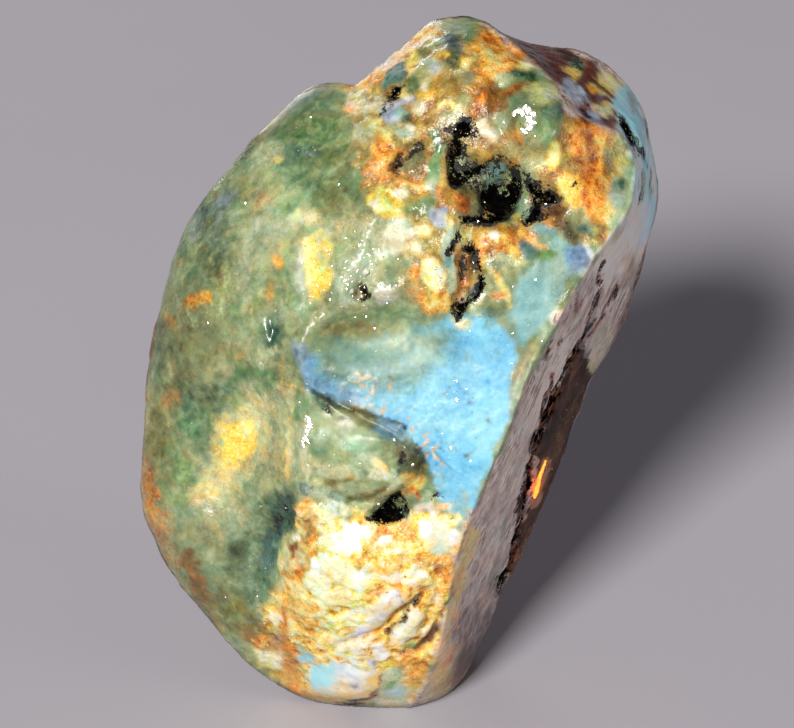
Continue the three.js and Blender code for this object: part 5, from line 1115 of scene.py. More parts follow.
# behind: rind over clear red-brown amber, with worn windows, crust left in the hollows and dark pits
rear_w = 1 - smooth((v[:, 2] - f_edge) / .8 + .35)
R_ = dict(where=rear_w)
cover(rear_w, {"S": .55, "N": .45})
cover(rear_w * smooth((N3 + .35 * N1 + .1) / .8) * .85, {"A": .55, "O": .08, "N": .37})
film = fbm(P * np.array([1, 1, .45]), 2.6, 4, 161, .62)
cover(rear_w * smooth((film - .02) / .5) * .62, {"F": .62, "N": .22, "S": .16})
cover(rear_w * smooth((streak - .34) / .2) * .5, {"F": .7, "S": .3})
cover(rear_w * smooth((fbm(P, 3.4, 4, 163, .6) - .50) / .35) * .75, {"Y": .12, "R": .42, "O": .26, "N": .2}, True, .7)
cover(rear_w * smooth((fbm(P, 2.2, 3, 167) - .58) / .14) * .8, {"K": .5, "N": .5})
cover(rear_w * smooth((fbm(P, 5.5, 4, 173, .62) - .40) / .5) * .5, {"O": .5, "N": .3, "G": .2})
# the flank seen from the side carries the same film in patches
side_w = front_w * smooth(.5 + beyond / .35) * smooth(dark_d / 4)
cover(side_w * smooth((fbm(P, 2.8, 3, 181) - .4) / .1) * .4, {"N": .3, "S": .4, "A": .3})
# underside: ground and dull
cover(smooth((1.2 - P[:, 2]) / 1.0) * .75, {"S": .4, "F": .3, "O": .3})

# ---------------------------------------------------------------- fine relief
def weight(names):
    return sum(Wt[:, KI[n]] for n in names)


crust = gritty
glassy = weight("GODTEABLP")
black = mean_round(weight("K"), E, 3)
rind = weight("SFN")
crust_s = np.clip((mean_round(crust, E, 2) - .2) / .8, 0, 1)
rind_s = mean_round(rind, E, 2)
calm = np.zeros(len(P))                                     # places where the glass is smooth and satiny
for cx, cy, rx, ry, rot in ((372, 350, 84, 27, 8), (340, 425, 60, 34, 28), (352, 462, 50, 26, 8), (524, 372, 12, 62, 16), (300, 108, 46, 15, -38), (394, 238, 24, 26, 0), (302, 268, 10, 36, 0)):
    c, s = math.cos(math.radians(rot)), math.sin(math.radians(rot))
    x, y = q[:, 0] - cx, q[:, 1] - cy
    calm = np.maximum(calm, np.exp(-(((x * c + y * s) / rx) ** 2 + ((-x * s + y * c) / ry) ** 2) ** 1.6) * front_w)
ridged = 1 - np.abs(fbm(P, 1.7, 3, 101))
lumpy = smooth(.5 + 1.4 * fbm(P, 2.4, 2, 107))              # big grains here, small ones there
b1, b2, bid = cells((P + .34 * np.stack([fbm(P, 1.1, 3, 83), fbm(P, 1.1, 3, 85), fbm(P, 1.1, 3, 87)], 1)) * np.array([1.0, 1.0, 1.35]), 1.15, 79)
crag = 1 - np.abs(fbm(P * np.array([1, 1, 1.25]), .95, 3, 141, .55))
hc = (.05 * smooth((b2 - b1) / .5) * lumpy + .04 * (1 - (g1 / .72) ** 2) * (1 - .6 * lumpy) + .26 * (ridged - .78)
      + .20 * (crag - .75) + .14 * fbm(P, 2.0, 2, 145) + .045 * NF)
t = fbm(P, 2.4, 3, 111, .55) * 4.0                          # thin steps where flakes have come off
step = (np.floor(t) + smooth((t - np.floor(t)) / .16)) * .0015
pitted = smooth((fbm(P, 2.0, 3, 117) - .05) / .5)
hg = step + .026 * fbm(P, 1.3, 2, 113) + .008 * NF * pitted
hk = .16 * fbm(P, 1.6, 3, 121) - .24 + .07 * NF
along = np.c_[P @ RIGHT * 1.0, P @ UP * .16, P @ BACK * .8]  # the rind is streaked up and down the lump
hr = .05 * fbm(along, .9, 3, 131) + .08 * fbm(P, 3.0, 3, 133) + .012 * NF - .04 * np.maximum(0, fbm(along, 1.6, 3, 137) - .55) * 2
hg = hg * (1 - .85 * smooth(mean_round(weight("BTLA"), E, 2) / .5))
hg = hg * (1 - .85 * calm) + .017 * NF * (1 - .6 * calm)
crust_s = crust_s * (1 - .9 * calm)
fine = hc * crust_s + hg * mean_round(glassy, E, 2) * (1 - crust_s) + hk * black + hr * rind_s
for cx, cy, rx, ry, a in DOMES:
    d2 = ((q[:, 0] - cx) / rx) ** 2 + ((q[:, 1] - cy) / ry) ** 2
    g = np.exp(-d2 ** 1.5) * front_w
    fine = fine * (1 - g) + a * g
for cx, cy, rx, ry, rot, a in SWELLS:
    c, s = math.cos(math.radians(rot)), math.sin(math.radians(rot))
    x, y = Q[:, 0] * .5 + q[:, 0] * .5 - cx, Q[:, 1] * .5 + q[:, 1] * .5 - cy
    fine = fine + a * np.exp(-(((x * c + y * s) / rx) ** 2 + ((-x * s + y * c) / ry) ** 2) ** 1.3) * front_w
fine = fine * low * smooth(P[:, 2] / 1.0)
# long creases in the glass are worn round
worn = np.zeros(len(P))
for line in ([(375, 216), (365, 244), (353, 268)], [(368, 289), (386, 286), (406, 281)], [(303, 343), (312, 329), (324, 312)], [(433, 127), (440, 150)]):
    ln = np.array(line, float)
    worn = np.maximum(worn, np.exp(-(nearest(q, ln, np.zeros(len(ln)), False)[0] / 8.0) ** 2) * front_w)
degree = np.bincount(E[:, 0], minlength=len(P))
for _ in range(16):
    pull = np.stack([np.bincount(E[:, 0], P[E[:, 1], a], len(P)) / degree - P[:, a] for a in range(3)], 1)
    P = P + pull * (.5 * worn)[:, None]
N = normals_of(P, T)
fine = fine + worn * (.040 * NF + .02 * fbm(P, .24, 2, 611))
P = P + N * fine[:, None]
P[:, 2] = np.maximum(P[:, 2], 0)
# how far each point lies below its neighbours; the crust's colour uses it for painted shade in its creases
cav = (fine - mean_round(fine, E, 9)) * 3.2 + (fine - mean_round(fine, E, 3)) * 3.0
cavity = np.clip(.5 + cav, 0, 1)


def mesh_object(name, verts_mm, faces, smooth_shade=True):
    me = bpy.data.meshes.new(name)
    V = np.asarray(verts_mm, np.float32) / 1000
    F = np.asarray(faces, np.int32)
    me.vertices.add(len(V))
    me.vertices.foreach_set("co", V.ravel())
    me.loops.add(F.size)
    me.loops.foreach_set("vertex_index", F.ravel())
    me.polygons.add(len(F))
    me.polygons.foreach_set("loop_start", np.arange(len(F), dtype=np.int32) * F.shape[1])
    me.polygons.foreach_set("loop_total", np.full(len(F), F.shape[1], np.int32))
    me.update(calc_edges=True)
    me.validate()
    me.polygons.foreach_set("use_smooth", np.full(len(F), smooth_shade, bool))
    ob = bpy.data.objects.new(name, me)
    bpy.context.scene.collection.objects.link(ob)
    return ob


for n in range(16):
    Wt[:, n] = mean_round(Wt[:, n], E, 2 if n == KI["K"] else 1)
lump = mesh_object("amber_lump", P, T)
in_window = (smooth((v[:, 2] - f_edge) / .8 + .35 + .9 * fbm(P, 2.4, 3, 451)) * smooth(.5 + rim_d / .35) > .5) & (dark_d > -1.0)
in_soot = mean_round(Wt[:, KI["K"]], E, 2) > .62
lump.data.polygons.foreach_set("material_index", (in_window[T].all(1) | in_soot[T].all(1)).astype(np.int32))
for n in range(4):
    at = lump.data.attributes.new("kind%d" % n, "FLOAT_COLOR", "POINT")
    at.data.foreach_set("color", Wt[:, n * 4:n * 4 + 4].astype(np.float32).ravel())
for name, val in (("grain", gid * .6 + bid * .4), ("cavity", cavity), ("rough_crust", crust_s), ("lift", lift), ("calm", calm)):
    at = lump.data.attributes.new(name, "FLOAT", "POINT")
    at.data.foreach_set("value", val.astype(np.float32))

# ---------------------------------------------------------------- materials
def lin(r, g, b):
    f = lambda c: c / 12.92 if c <= .04045 else ((c + .055) / 1.055) ** 2.4
    return tuple(f(x / 255) for x in (r, g, b))


class Nodes:
    """Short ways to make shader nodes."""
    def __init__(self, name):
        self.mat = bpy.data.materials.new(name)
        self.mat.use_nodes = True
        self.t = self.mat.node_tree
        self.t.nodes.clear()

    def new(self, kind, **props):
        n = self.t.nodes.new(kind)
        for k, val in props.items():
            setattr(n, k, val)
        return n

    def link(self, a, b):
        self.t.links.new(a, b)

    def put(self, socket, value):
        if hasattr(value, "links") or hasattr(value, "is_linked"):
            self.link(value, socket)
        else:
            socket.default_value = value

    def math(self, op, a, b=None, c=None, clamp=False):
        n = self.new("ShaderNodeMath", operation=op, use_clamp=clamp)
        for s, x in zip(n.inputs, (a, b, c)):
            if x is not None:
                self.put(s, x)
        return n.outputs[0]

    def ramp01(self, x, lo, hi, kind="SMOOTHSTEP"):
        n = self.new("ShaderNodeMapRange", interpolation_type=kind)
        self.put(n.inputs["Value"], x)
        n.inputs["From Min"].default_value, n.inputs["From Max"].default_value = lo, hi
        return n.outputs["Result"]

    def mixc(self, fac, a, b, blend="MIX"):
        n = self.new("ShaderNodeMix", data_type="RGBA", blend_type=blend)
        self.put(n.inputs["Factor"], fac)
        for s, x in ((n.inputs[6], a), (n.inputs[7], b)):
            if isinstance(x, tuple):
                s.default_value = (*x[:3], 1)
            else:
                self.link(x, s)
        return n.outputs[2]

    def mixf(self, fac, a, b):
        n = self.new("ShaderNodeMix", data_type="FLOAT")
        for s, x in ((n.inputs[0], fac), (n.inputs[2], a), (n.inputs[3], b)):
            self.put(s, x)
        return n.outputs[0]

    def noise(self, vec, scale, detail=3, rough=.6, dist=0.0):
        n = self.new("ShaderNodeTexNoise")
        self.link(vec, n.inputs["Vector"])
        n.inputs["Scale"].default_value = scale
        n.inputs["Detail"].default_value = detail
        n.inputs["Roughness"].default_value = rough
        n.inputs["Distortion"].default_value = dist
        return n.outputs

    def cells(self, vec, scale, feature="F1"):
        n = self.new("ShaderNodeTexVoronoi", feature=feature)
        self.link(vec, n.inputs["Vector"])
        n.inputs["Scale"].default_value = scale
        return n.outputs

    def tones(self, x, stops):
        n = self.new("ShaderNodeValToRGB")
        cr = n.color_ramp
        while len(cr.elements) > 1:
            cr.elements.remove(cr.elements[-1])
        cr.elements[0].position, cr.elements[0].color = stops[0][0], (*stops[0][1], 1)
        for pos, col in stops[1:]:
            cr.elements.new(pos).color = (*col, 1)
        self.link(x, n.inputs[0])
        return n.outputs[0]

    def mm(self):
        """Object coordinates in millimetres."""
        tc = self.new("ShaderNodeTexCoord")
        vm = self.new("ShaderNodeVectorMath", operation="SCALE")
        self.link(tc.outputs["Object"], vm.inputs[0])
        vm.inputs["Scale"].default_value = 1000.0
        return vm.outputs[0]


TONES = {   # tones from dark to light, gloss (roughness), how much light goes through, how hard its edges are
    "G": (((0, (86, 108, 72)), (.5, (130, 148, 104)), (1, (182, 196, 148))), .26, .36, 1.2),
    "O": (((0, (74, 66, 24)), (.45, (124, 118, 62)), (1, (178, 172, 106))), .22, .32, 1.2),
    "D": (((0, (14, 40, 32)), (.5, (62, 98, 76)), (1, (122, 154, 122))), .17, .45, 1.4),
    "B": (((0, (52, 122, 186)), (.4, (110, 196, 240)), (1, (176, 244, 255))), .46, .12, 1.5),
    "T": (((0, (52, 106, 112)), (.5, (118, 170, 166)), (1, (180, 222, 212))), .42, .20, 1.4),
    "P": (((0, (140, 152, 106)), (.5, (194, 200, 152)), (1, (236, 238, 206))), .30, .24, 1.3),
    "Y": (((0, (206, 122, 22)), (.28, (246, 180, 44)), (.55, (255, 224, 84)), (.8, (255, 248, 132)), (1, (255, 254, 206))), .40, .10, 1.5),
    "R": (((0, (104, 40, 6)), (.3, (182, 90, 16)), (.6, (240, 144, 34)), (.85, (255, 184, 68)), (1, (255, 218, 126))), .36, .15, 1.5),
    "W": (((0, (236, 176, 112)), (.4, (252, 226, 176)), (.8, (255, 250, 228)), (1, (255, 255, 250))), .42, .05, 1.6),
    "K": (((0, (1, 1, 1)), (.6, (10, 9, 7)), (1, (52, 42, 24))), .32, .0, 2.4),
    "S": (((0, (5, 1, 1)), (.6, (26, 7, 3)), (1, (62, 20, 10))), .20, .25, 1.8),
    "F": (((0, (128, 104, 98)), (.5, (202, 176, 168)), (1, (250, 232, 218))), .5, .05, 1.5),
    "A": (((0, (84, 34, 6)), (.5, (142, 72, 16)), (1, (196, 118, 38))), .12, .70, 1.4),
    "N": (((0, (34, 8, 4)), (.5, (88, 30, 12)), (1, (148, 66, 28))), .28, .3, 1.6),
    "L": (((0, (66, 76, 100)), (.5, (132, 150, 178)), (1, (214, 226, 246))), .22, .18, 1.5),
    "E": (((0, (30, 84, 38)), (.5, (84, 142, 72)), (1, (140, 188, 104))), .20, .38, 1.4),
}
LIGHT_HERE = 1.3                                         # what a white face gives back under the key light


def amber_material(name="amber_skin", sheen_back=.5):
    M = Nodes(name)
    mm = M.mm()
    at = [M.new("ShaderNodeAttribute", attribute_name="kind%d" % n) for n in range(4)]
    ch = []
    for a in at:
        sp = M.new("ShaderNodeSeparateColor")
        M.link(a.outputs["Color"], sp.inputs[0])
        ch += [sp.outputs[0], sp.outputs[1], sp.outputs[2], a.outputs["Alpha"]]
    grain = M.new("ShaderNodeAttribute", attribute_name="grain").outputs["Fac"]
    cav = M.new("ShaderNodeAttribute", attribute_name="cavity").outputs["Fac"]

    # several fine noises, shared out between the kinds
    no = []
    for sc, de, off in ((2.2, 4, 0), (3.6, 3, 1), (1.3, 4, 2)):
        o = M.noise(mm, sc, de, .66, .35)
        sp = M.new("ShaderNodeSeparateColor")
        M.link(o["Color"], sp.inputs[0])
        no += [sp.outputs[0], sp.outputs[1], sp.outputs[2]]
    # striations that run down the broad face
    st = M.new("ShaderNodeMapping", vector_type="POINT")
    M.link(mm, st.inputs["Vector"])
    st.inputs["Rotation"].default_value = (LEAN, 0, -TURN)
    st.inputs["Scale"].default_value = (3.4, 1.2, .42)
    stripe = M.noise(st.outputs[0], 1.0, 4, .62, .5)["Fac"]
    fine = M.noise(mm, 9.0, 2, .6, 0)["Fac"]

    tone_of = {}
    broad_n = M.noise(mm, .34, 3, .55, .6)["Fac"]
    cloud = M.noise(mm, .95, 2, .5, .8)["Fac"]
    mixn = M.math("ADD", M.math("MULTIPLY", M.math("ADD", no[0], no[6]), .17), M.math("ADD", M.math("MULTIPLY", cloud, .30), M.math("MULTIPLY", broad_n, .36)))
    glass_tone = M.ramp01(mixn, .37, .63, "LINEAR")
    # the crust's tones run darker in its hollows: painted shade
    cr = M.math("ADD", M.math("MULTIPLY", cav, .18), M.math("ADD", M.math("MULTIPLY", no[1], .34), M.math("ADD", M.math("MULTIPLY", M.math("ADD", no[4], fine), .28), M.math("MULTIPLY", broad_n, .24))))
    crust_tone = M.ramp01(cr, .51, .81, "LINEAR")
    soft_tone = M.ramp01(M.math("ADD", M.math("MULTIPLY", no[7], .30), M.math("ADD", M.math("MULTIPLY", no[3], .15), M.math("MULTIPLY", broad_n, .55))), .24, .70, "LINEAR")
    up = M.new("ShaderNodeAttribute", attribute_name="lift").outputs["Fac"]
    glass_tone, crust_tone, soft_tone = (M.math("ADD", x, up, clamp=True) for x in (glass_tone, crust_tone, soft_tone))
    for k in "GODEATLSNF":
        tone_of[k] = glass_tone
    for k in "YRWPK":
        tone_of[k] = crust_tone
    tone_of["B"] = tone_of["T"] = soft_tone

    tot = csum = rsum = tsum = None
    for n, k in enumerate(KINDS):
        if k == "K":
            continue
        stops, rough, thru, hard = TONES[k]
        gain = 1.0 / (LIGHT_HERE * (1 - thru))
        cols = [(x, tuple(min(.98, c * gain) for c in lin(*rgb))) for x, rgb in stops]
        w2 = M.math("POWER", ch[n], hard)
        nn = M.math("POWER", M.math("MULTIPLY", no[n % 9], 2.0), (2.7 if k in "YRWP" else 1.5) * hard)
        s = M.math("MULTIPLY", w2, nn)
        col = M.tones(tone_of[k], cols)
        vs = M.new("ShaderNodeVectorMath", operation="SCALE")
        M.link(col, vs.inputs[0])
        M.link(s, vs.inputs["Scale"])
        if tot is None:
            tot, csum = s, vs.outputs[0]
            rsum, tsum = M.math("MULTIPLY", s, rough), M.math("MULTIPLY", s, thru)
        else:
            tot = M.math("ADD", tot, s)
            va = M.new("ShaderNodeVectorMath", operation="ADD")
            M.link(csum, va.inputs[0])
            M.link(vs.outputs[0], va.inputs[1])
            csum = va.outputs[0]
            rsum = M.math("MULTIPLY_ADD", s, rough, rsum)
            tsum = M.math("MULTIPLY_ADD", s, thru, tsum)
    tot = M.math("MAXIMUM", tot, 1e-5)
    inv = M.math("DIVIDE", 1.0, tot)
    vs = M.new("ShaderNodeVectorMath", operation="SCALE")
    M.link(csum, vs.inputs[0])
    M.link(inv, vs.inputs["Scale"])
    colour = vs.outputs[0]
    rough = M.math("MULTIPLY", rsum, inv)
    thru = M.math("MULTIPLY", tsum, inv, clamp=True)
    # soot lies over the rest in crisp, ragged shreds
    shred = M.math("MULTIPLY_ADD", M.math("SUBTRACT", no[1], .5), 3.0, ch[KI["K"]])
    shred = M.math("MULTIPLY_ADD", M.math("SUBTRACT", no[7], .5), 2.4, shred)
    shred = M.math("MULTIPLY_ADD", M.math("SUBTRACT", fine, .5), 1.9, shred)
    sooty = M.ramp01(shred, .38, .60)
    sooty = M.math("MULTIPLY", sooty, M.ramp01(ch[KI["K"]], .04, .2))
    black = M.tones(M.math("ADD", M.math("MULTIPLY", no[3], .6), M.math("MULTIPLY", no[8], .4)), [(.42, lin(2, 2, 2)), (.56, lin(10, 9, 8)), (.64, lin(44, 34, 20))])
    colour = M.mixc(sooty, colour, black)
    rough = M.mixf(sooty, rough, .74)
    thru = M.mixf(sooty, thru, 0.0)

    # grains differ a little in strength; deep creases are painted warmer and darker: partly the crust's own deeper
    # orange, partly painted shade
    share = lambda names: M.math("MULTIPLY", M.math("ADD", 0.0, sum_of([ch[KI[k]] for k in names])), 1.0, clamp=True)

    def sum_of(xs):
        t = xs[0]
        for x in xs[1:]:
            t = M.math("ADD", t, x)
        return t
    crusty = M.new("ShaderNodeAttribute", attribute_name="rough_crust").outputs["Fac"]
    gv = M.math("MULTIPLY_ADD", M.math("SUBTRACT", grain, .5), M.math("MULTIPLY", crusty, .22), 1.0)
    vs = M.new("ShaderNodeVectorMath", operation="SCALE")
    M.link(colour, vs.inputs[0])
    M.link(gv, vs.inputs["Scale"])
    crease_shade = M.math("MULTIPLY", M.ramp01(cav, .30, .02), M.math("MULTIPLY", crusty, .42))
    warm = M.mixc(crease_shade, vs.outputs[0], tuple(x * .8 for x in lin(168, 84, 16)))
    # its hue wanders from place to place
    sp = M.new("ShaderNodeSeparateColor")
    M.link(M.noise(mm, .5, 3, .55, .6)["Color"], sp.inputs[0])
    sp2 = M.new("ShaderNodeSeparateColor")
    M.link(M.noise(mm, 2.4, 2, .5, .3)["Color"], sp2.inputs[0])
    va, vb = (M.math("ADD", M.math("MULTIPLY", M.math("SUBTRACT", sp.outputs[i], .5), 1.0), M.math("MULTIPLY", M.math("SUBTRACT", sp2.outputs[i], .5), .45)) for i in (0, 1))
    cc = M.new("ShaderNodeCombineXYZ")
    M.link(M.math("ADD", va, 1.0), cc.inputs[0])
    M.link(M.math("MULTIPLY_ADD", vb, .3, 1.0), cc.inputs[1])
    M.link(M.math("MULTIPLY_ADD", va, -.8, 1.0), cc.inputs[2])
    tv = M.new("ShaderNodeVectorMath", operation="MULTIPLY")
    M.link(warm, tv.inputs[0])
    M.link(cc.outputs[0], tv.inputs[1])
    film = share("FW")
    warm = M.mixc(M.mixf(M.math("MAXIMUM", share("BTL"), film), 1.0, .35), warm, tv.outputs[0])
    # fine dark cracks run along the flank's grey film
    arris = (.309 * RIGHT + .951 * UP)
    side1 = np.cross(arris, BACK)
    dots = []
    for axis, sc in ((arris, .20), (side1, 1.5), (np.cross(arris, side1), 1.5)):
        n = M.new("ShaderNodeVectorMath", operation="DOT_PRODUCT")
        M.link(mm, n.inputs[0])
        n.inputs[1].default_value = tuple(float(x * sc) for x in axis)
        dots.append(n.outputs["Value"])
    cx = M.new("ShaderNodeCombineXYZ")
    for i in range(3):
        M.link(dots[i], cx.inputs[i])
    line = M.math("ABSOLUTE", M.math("SUBTRACT", M.noise(cx.outputs[0], 1.0, 3, .55, .4)["Fac"], .5))
    wide = M.math("MULTIPLY", M.math("SUBTRACT", broad_n, .47), .22)
    crack = M.math("MULTIPLY", M.ramp01(M.math("SUBTRACT", line, wide), .012, -.004), M.ramp01(share("F"), .35, .75))
    warm = M.mixc(M.math("MULTIPLY", crack, .62), warm, lin(38, 18, 14))
    # flecks of soot and dust
    fleck = M.math("MULTIPLY", M.ramp01(M.noise(mm, 5.5, 2, .5, .2)["Fac"], .72, .77), .45)
    base = M.mixc(fleck, warm, lin(40, 30, 16))
    # scattered specks, each its own colour: dust, rust, chalk
    vd = M.cells(mm, 1.9)
    wob = M.math("MULTIPLY_ADD", no[4], .22, -.02)
    speck = M.math("MULTIPLY", M.math("LESS_THAN", vd["Distance"], wob), .75)
    vsp = M.new("ShaderNodeSeparateColor")
    M.link(vd["Color"], vsp.inputs[0])
    spc = M.tones(vsp.outputs[0], [(0, lin(66, 60, 30)), (.35, lin(96, 84, 40)), (.5, lin(190, 120, 50)), (.62, lin(110, 130, 90)), (.8, lin(226, 222, 190)), (1, lin(250, 246, 226))])
    speck = M.math("MULTIPLY", speck, M.math("GREATER_THAN", vsp.outputs[1], .45))
    base = M.mixc(speck, base, spc)

    calm = M.new("ShaderNodeAttribute", attribute_name="calm").outputs["Fac"]
    rough2 = M.math("MULTIPLY_ADD", calm, .16, M.math("ADD", rough, M.math("MULTIPLY", M.math("SUBTRACT", no[4], .5), .22)))
    rough3 = M.math("MAXIMUM", M.math("MINIMUM", rough2, .8), .06)

    # bump: gritty crust, fine steps on glass, streaked rind
    vor = M.cells(mm, 4.6)["Distance"]
    grit = M.math("ADD", M.math("MULTIPLY", vor, -.40), M.math("ADD", M.math("MULTIPLY", no[1], .45), M.math("MULTIPLY", fine, .34)))
    glass = M.math("ADD", M.math("MULTIPLY", no[6], .13), M.math("ADD", M.math("MULTIPLY", no[3], .10), M.math("MULTIPLY", fine, .05)))
    rindy = M.math("SUBTRACT", M.math("ADD", M.math("MULTIPLY", stripe, .3), M.math("MULTIPLY", no[0], .3)), M.math("MULTIPLY", crack, .7))
    rw = share("SFN")
    kw = share("K")
    glass = M.math("MULTIPLY", glass, M.math("SUBTRACT", 1.0, M.math("MULTIPLY", M.math("MAXIMUM", calm, M.math("MULTIPLY", share("BTLA"), 2.0, clamp=True)), .85)))
    hgt = M.mixf(rw, glass, rindy)
    hgt = M.mixf(M.math("MAXIMUM", crusty, M.math("MULTIPLY", sooty, .8)), hgt, grit)
    bump = M.new("ShaderNodeBump")
    bump.inputs["Strength"].default_value = .55
    bump.inputs["Distance"].default_value = .00022
    M.link(hgt, bump.inputs["Height"])

    b = M.new("ShaderNodeBsdfPrincipled")
    M.link(base, b.inputs["Base Color"])
    M.link(rough3, b.inputs["Roughness"])
    M.link(thru, b.inputs["Transmission Weight"])
    M.link(bump.outputs[0], b.inputs["Normal"])
    b.inputs["IOR"].default_value = 1.54
    b.inputs["Specular IOR Level"].default_value = sheen_back
    out = M.new("ShaderNodeOutputMaterial")
    M.link(b.outputs[0], out.inputs["Surface"])
    va = M.new("ShaderNodeVolumeAbsorption")
    va.inputs["Color"].default_value = (.92, .50, .13, 1)
    va.inputs["Density"].default_value = 120.0
    M.link(va.outputs[0], out.inputs["Volume"])
    return M.mat


def plain_material(name, tones, rough, thru, bump_mm=0.0, scale=6.0, ior=1.54, emit=None):
    """A small piece's own skin: noise-driven tones, gloss that wanders, optional grit and an optional painted glow."""
    M = Nodes(name)
    mm = M.mm()
    n1 = M.noise(mm, scale, 4, .6, .3)["Fac"]
    n2 = M.noise(mm, scale * .35, 3, .6, 0)["Fac"]
    col = M.tones(M.ramp01(M.math("ADD", M.math("MULTIPLY", n1, .5), M.math("MULTIPLY", n2, .5)), .36, .64), tones)
    b = M.new("ShaderNodeBsdfPrincipled")
    M.link(col, b.inputs["Base Color"])
    M.link(M.math("MULTIPLY_ADD", M.math("SUBTRACT", n1, .5), .3, rough), b.inputs["Roughness"])
    b.inputs["Transmission Weight"].default_value = thru
    b.inputs["IOR"].default_value = ior
    if emit:
        b.inputs["Emission Color"].default_value = (*emit[0], 1)
        b.inputs["Emission Strength"].default_value = emit[1]
    if bump_mm:
        bu = M.new("ShaderNodeBump")
        bu.inputs["Strength"].default_value = .6
        bu.inputs["Distance"].default_value = bump_mm / 1000
        M.link(n1, bu.inputs["Height"])
        M.link(bu.outputs[0], b.inputs["Normal"])
    out = M.new("ShaderNodeOutputMaterial")
    M.link(b.outputs[0], out.inputs["Surface"])
    return M.mat


lump.data.materials.append(amber_material())
lump.data.materials.append(amber_material("amber_window", 0.0))
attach(lump, "root")
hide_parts("rough_amber")


# ---------------------------------------------------------------- crumbs: grains that stand out of the crust
rng = np.random.default_rng(11)
N = normals_of(P, T)
vv = to_view(P)
qq = to_plane(vv)


def crumb_shapes(centres, normals, sizes, flat=None, seed=3):
    """Small faceted solids, each an irregular cut bead set into the skin."""
    r = np.random.default_rng(seed)
    g = (1 + 5 ** .5) / 2
    base = np.array([(-1, g, 0), (1, g, 0), (-1, -g, 0), (1, -g, 0), (0, -1, g), (0, 1, g), (0, -1, -g), (0, 1, -g),
                     (g, 0, -1), (g, 0, 1), (-g, 0, -1), (-g, 0, 1)], float) / math.sqrt(1 + g * g)
    tri = np.array([(0, 11, 5), (0, 5, 1), (0, 1, 7), (0, 7, 10), (0, 10, 11), (1, 5, 9), (5, 11, 4), (11, 10, 2), (10, 7, 6),
                    (7, 1, 8), (3, 9, 4), (3, 4, 2), (3, 2, 6), (3, 6, 8), (3, 8, 9), (4, 9, 5), (2, 4, 11), (6, 2, 10), (8, 6, 7), (9, 8, 1)])
    VV, TT = [], []
    for i, (c, n, s) in enumerate(zip(centres, normals, sizes)):
        a = np.cross(n, r.normal(size=3))
        a /= np.linalg.norm(a)
        b = np.cross(n, a)
        sh = base * (1 + .28 * r.uniform(-1, 1, (12, 1))) * np.array([1.0, r.uniform(.55, 1), r.uniform(.5, .95)])
        if flat is not None:
            sh[:, 2] = np.minimum(sh[:, 2], flat)
        pts = c + s * (sh[:, 0:1] * a + sh[:, 1:2] * b + sh[:, 2:3] * n)
        VV.append(pts)
        TT.append(tri + 12 * i)
    return np.vstack(VV), np.vstack(TT)


crust_v = Wt[:, KI["Y"]] + Wt[:, KI["R"]] + Wt[:, KI["W"]]
pale_v = Wt[:, KI["P"]]
pick = rng.random(len(P))
want = smooth((crust_s - .62) / .3) * .022
chosen = np.where((pick < want) & (P[:, 2] > .6))[0]
sizes = .05 + .10 * rng.random(len(chosen)) ** 2
nn = N[chosen] + .5 * rng.normal(size=(len(chosen), 3))
nn /= np.linalg.norm(nn, axis=1, keepdims=True)
cv, ct = crumb_shapes(P[chosen] + N[chosen] * (sizes * .05)[:, None], nn, sizes)
crumbs = mesh_object("crust_crumbs", cv, ct, False)
crumbs.data.materials.append(plain_material(
    "crumb_skin", [(0, tuple(x * .8 for x in lin(206, 110, 34))), (.4, tuple(x * .85 for x in lin(250, 214, 96))), (.75, tuple(x * .85 for x in lin(255, 252, 178))), (1, tuple(x * .8 for x in lin(216, 224, 196)))],
    .3, .25, .02, 1.6))
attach(crumbs, "root")

# bright flat grains where the broken face glitters
H = -.14 * RIGHT + .082 * UP + .987 * BACK
H /= np.linalg.norm(H)
SPARKS = [(365, 271, .30), (355, 258, .20), (351, 290, .20), (376, 262, .14), (345, 280, .14), (338, 262, .12), (360, 246, .11),
          (329, 467, .14), (261, 364, .12), (245, 203, .10), (312, 117, .10), (394, 477, .10), (412, 464, .10), (471, 460, .09),
          (466, 388, .08), (422, 63, .14), (457, 401, .13), (447, 395, .10), (451, 447, .11), (405, 447, .12), (394, 440, .14), (351, 401, .10), (378, 504, .11),
          (387, 489, .10), (414, 492, .11), (423, 499, .14), (320, 504, .12), (537, 279, .12), (553, 293, .10), (479, 315, .13), (514, 286, .08), (527, 325, .08), (477, 221, .08),
          (296, 538, .08), (303, 585, .07), (257, 597, .07), (388, 592, .10), (466, 65, .09), (374, 328, .09), (305, 392, .08), (334, 454, .08), (309, 465, .10), (330, 300, .10), (342, 306, .09),
          (372, 288, .12), (384, 286, .10), (470, 330, .08), (306, 420, .12), (305, 436, .10), (438, 280, .16), (436, 268, .12),
          (478, 221, .09), (486, 202, .06), (547, 205, .07), (528, 212, .06), (463, 150, .06), (471, 182, .07), (509, 178, .06), (466, 296, .07), (474, 262, .05), (456, 130, .05), (492, 214, .05), (401, 512, .06)]
for i in range(14):
    SPARKS.append((311 - 9 * i / 13 + rng.normal() * 1.0, 418 + 28 * i / 13, .15 + .09 * rng.random(), .012))
HOOK = ((514, 114), (518, 112), (523, 111), (527, 112), (530, 115), (531, 119), (530, 123), (528.5, 127), (528, 131))
for n in range(34):
    f = n / 33 * (len(HOOK) - 1)
    i = min(int(f), len(HOOK) - 2)
    SPARKS.append((HOOK[i][0] + (HOOK[i + 1][0] - HOOK[i][0]) * (f - i), HOOK[i][1] + (HOOK[i + 1][1] - HOOK[i][1]) * (f - i), .14 + .12 * math.sin(math.pi * (.15 + .8 * n / 33)), .008))
SPARKS += [(504, 120, .12), (508, 125, .08), (526.5, 131, .26, .01), (529.5, 130, .24, .01)]
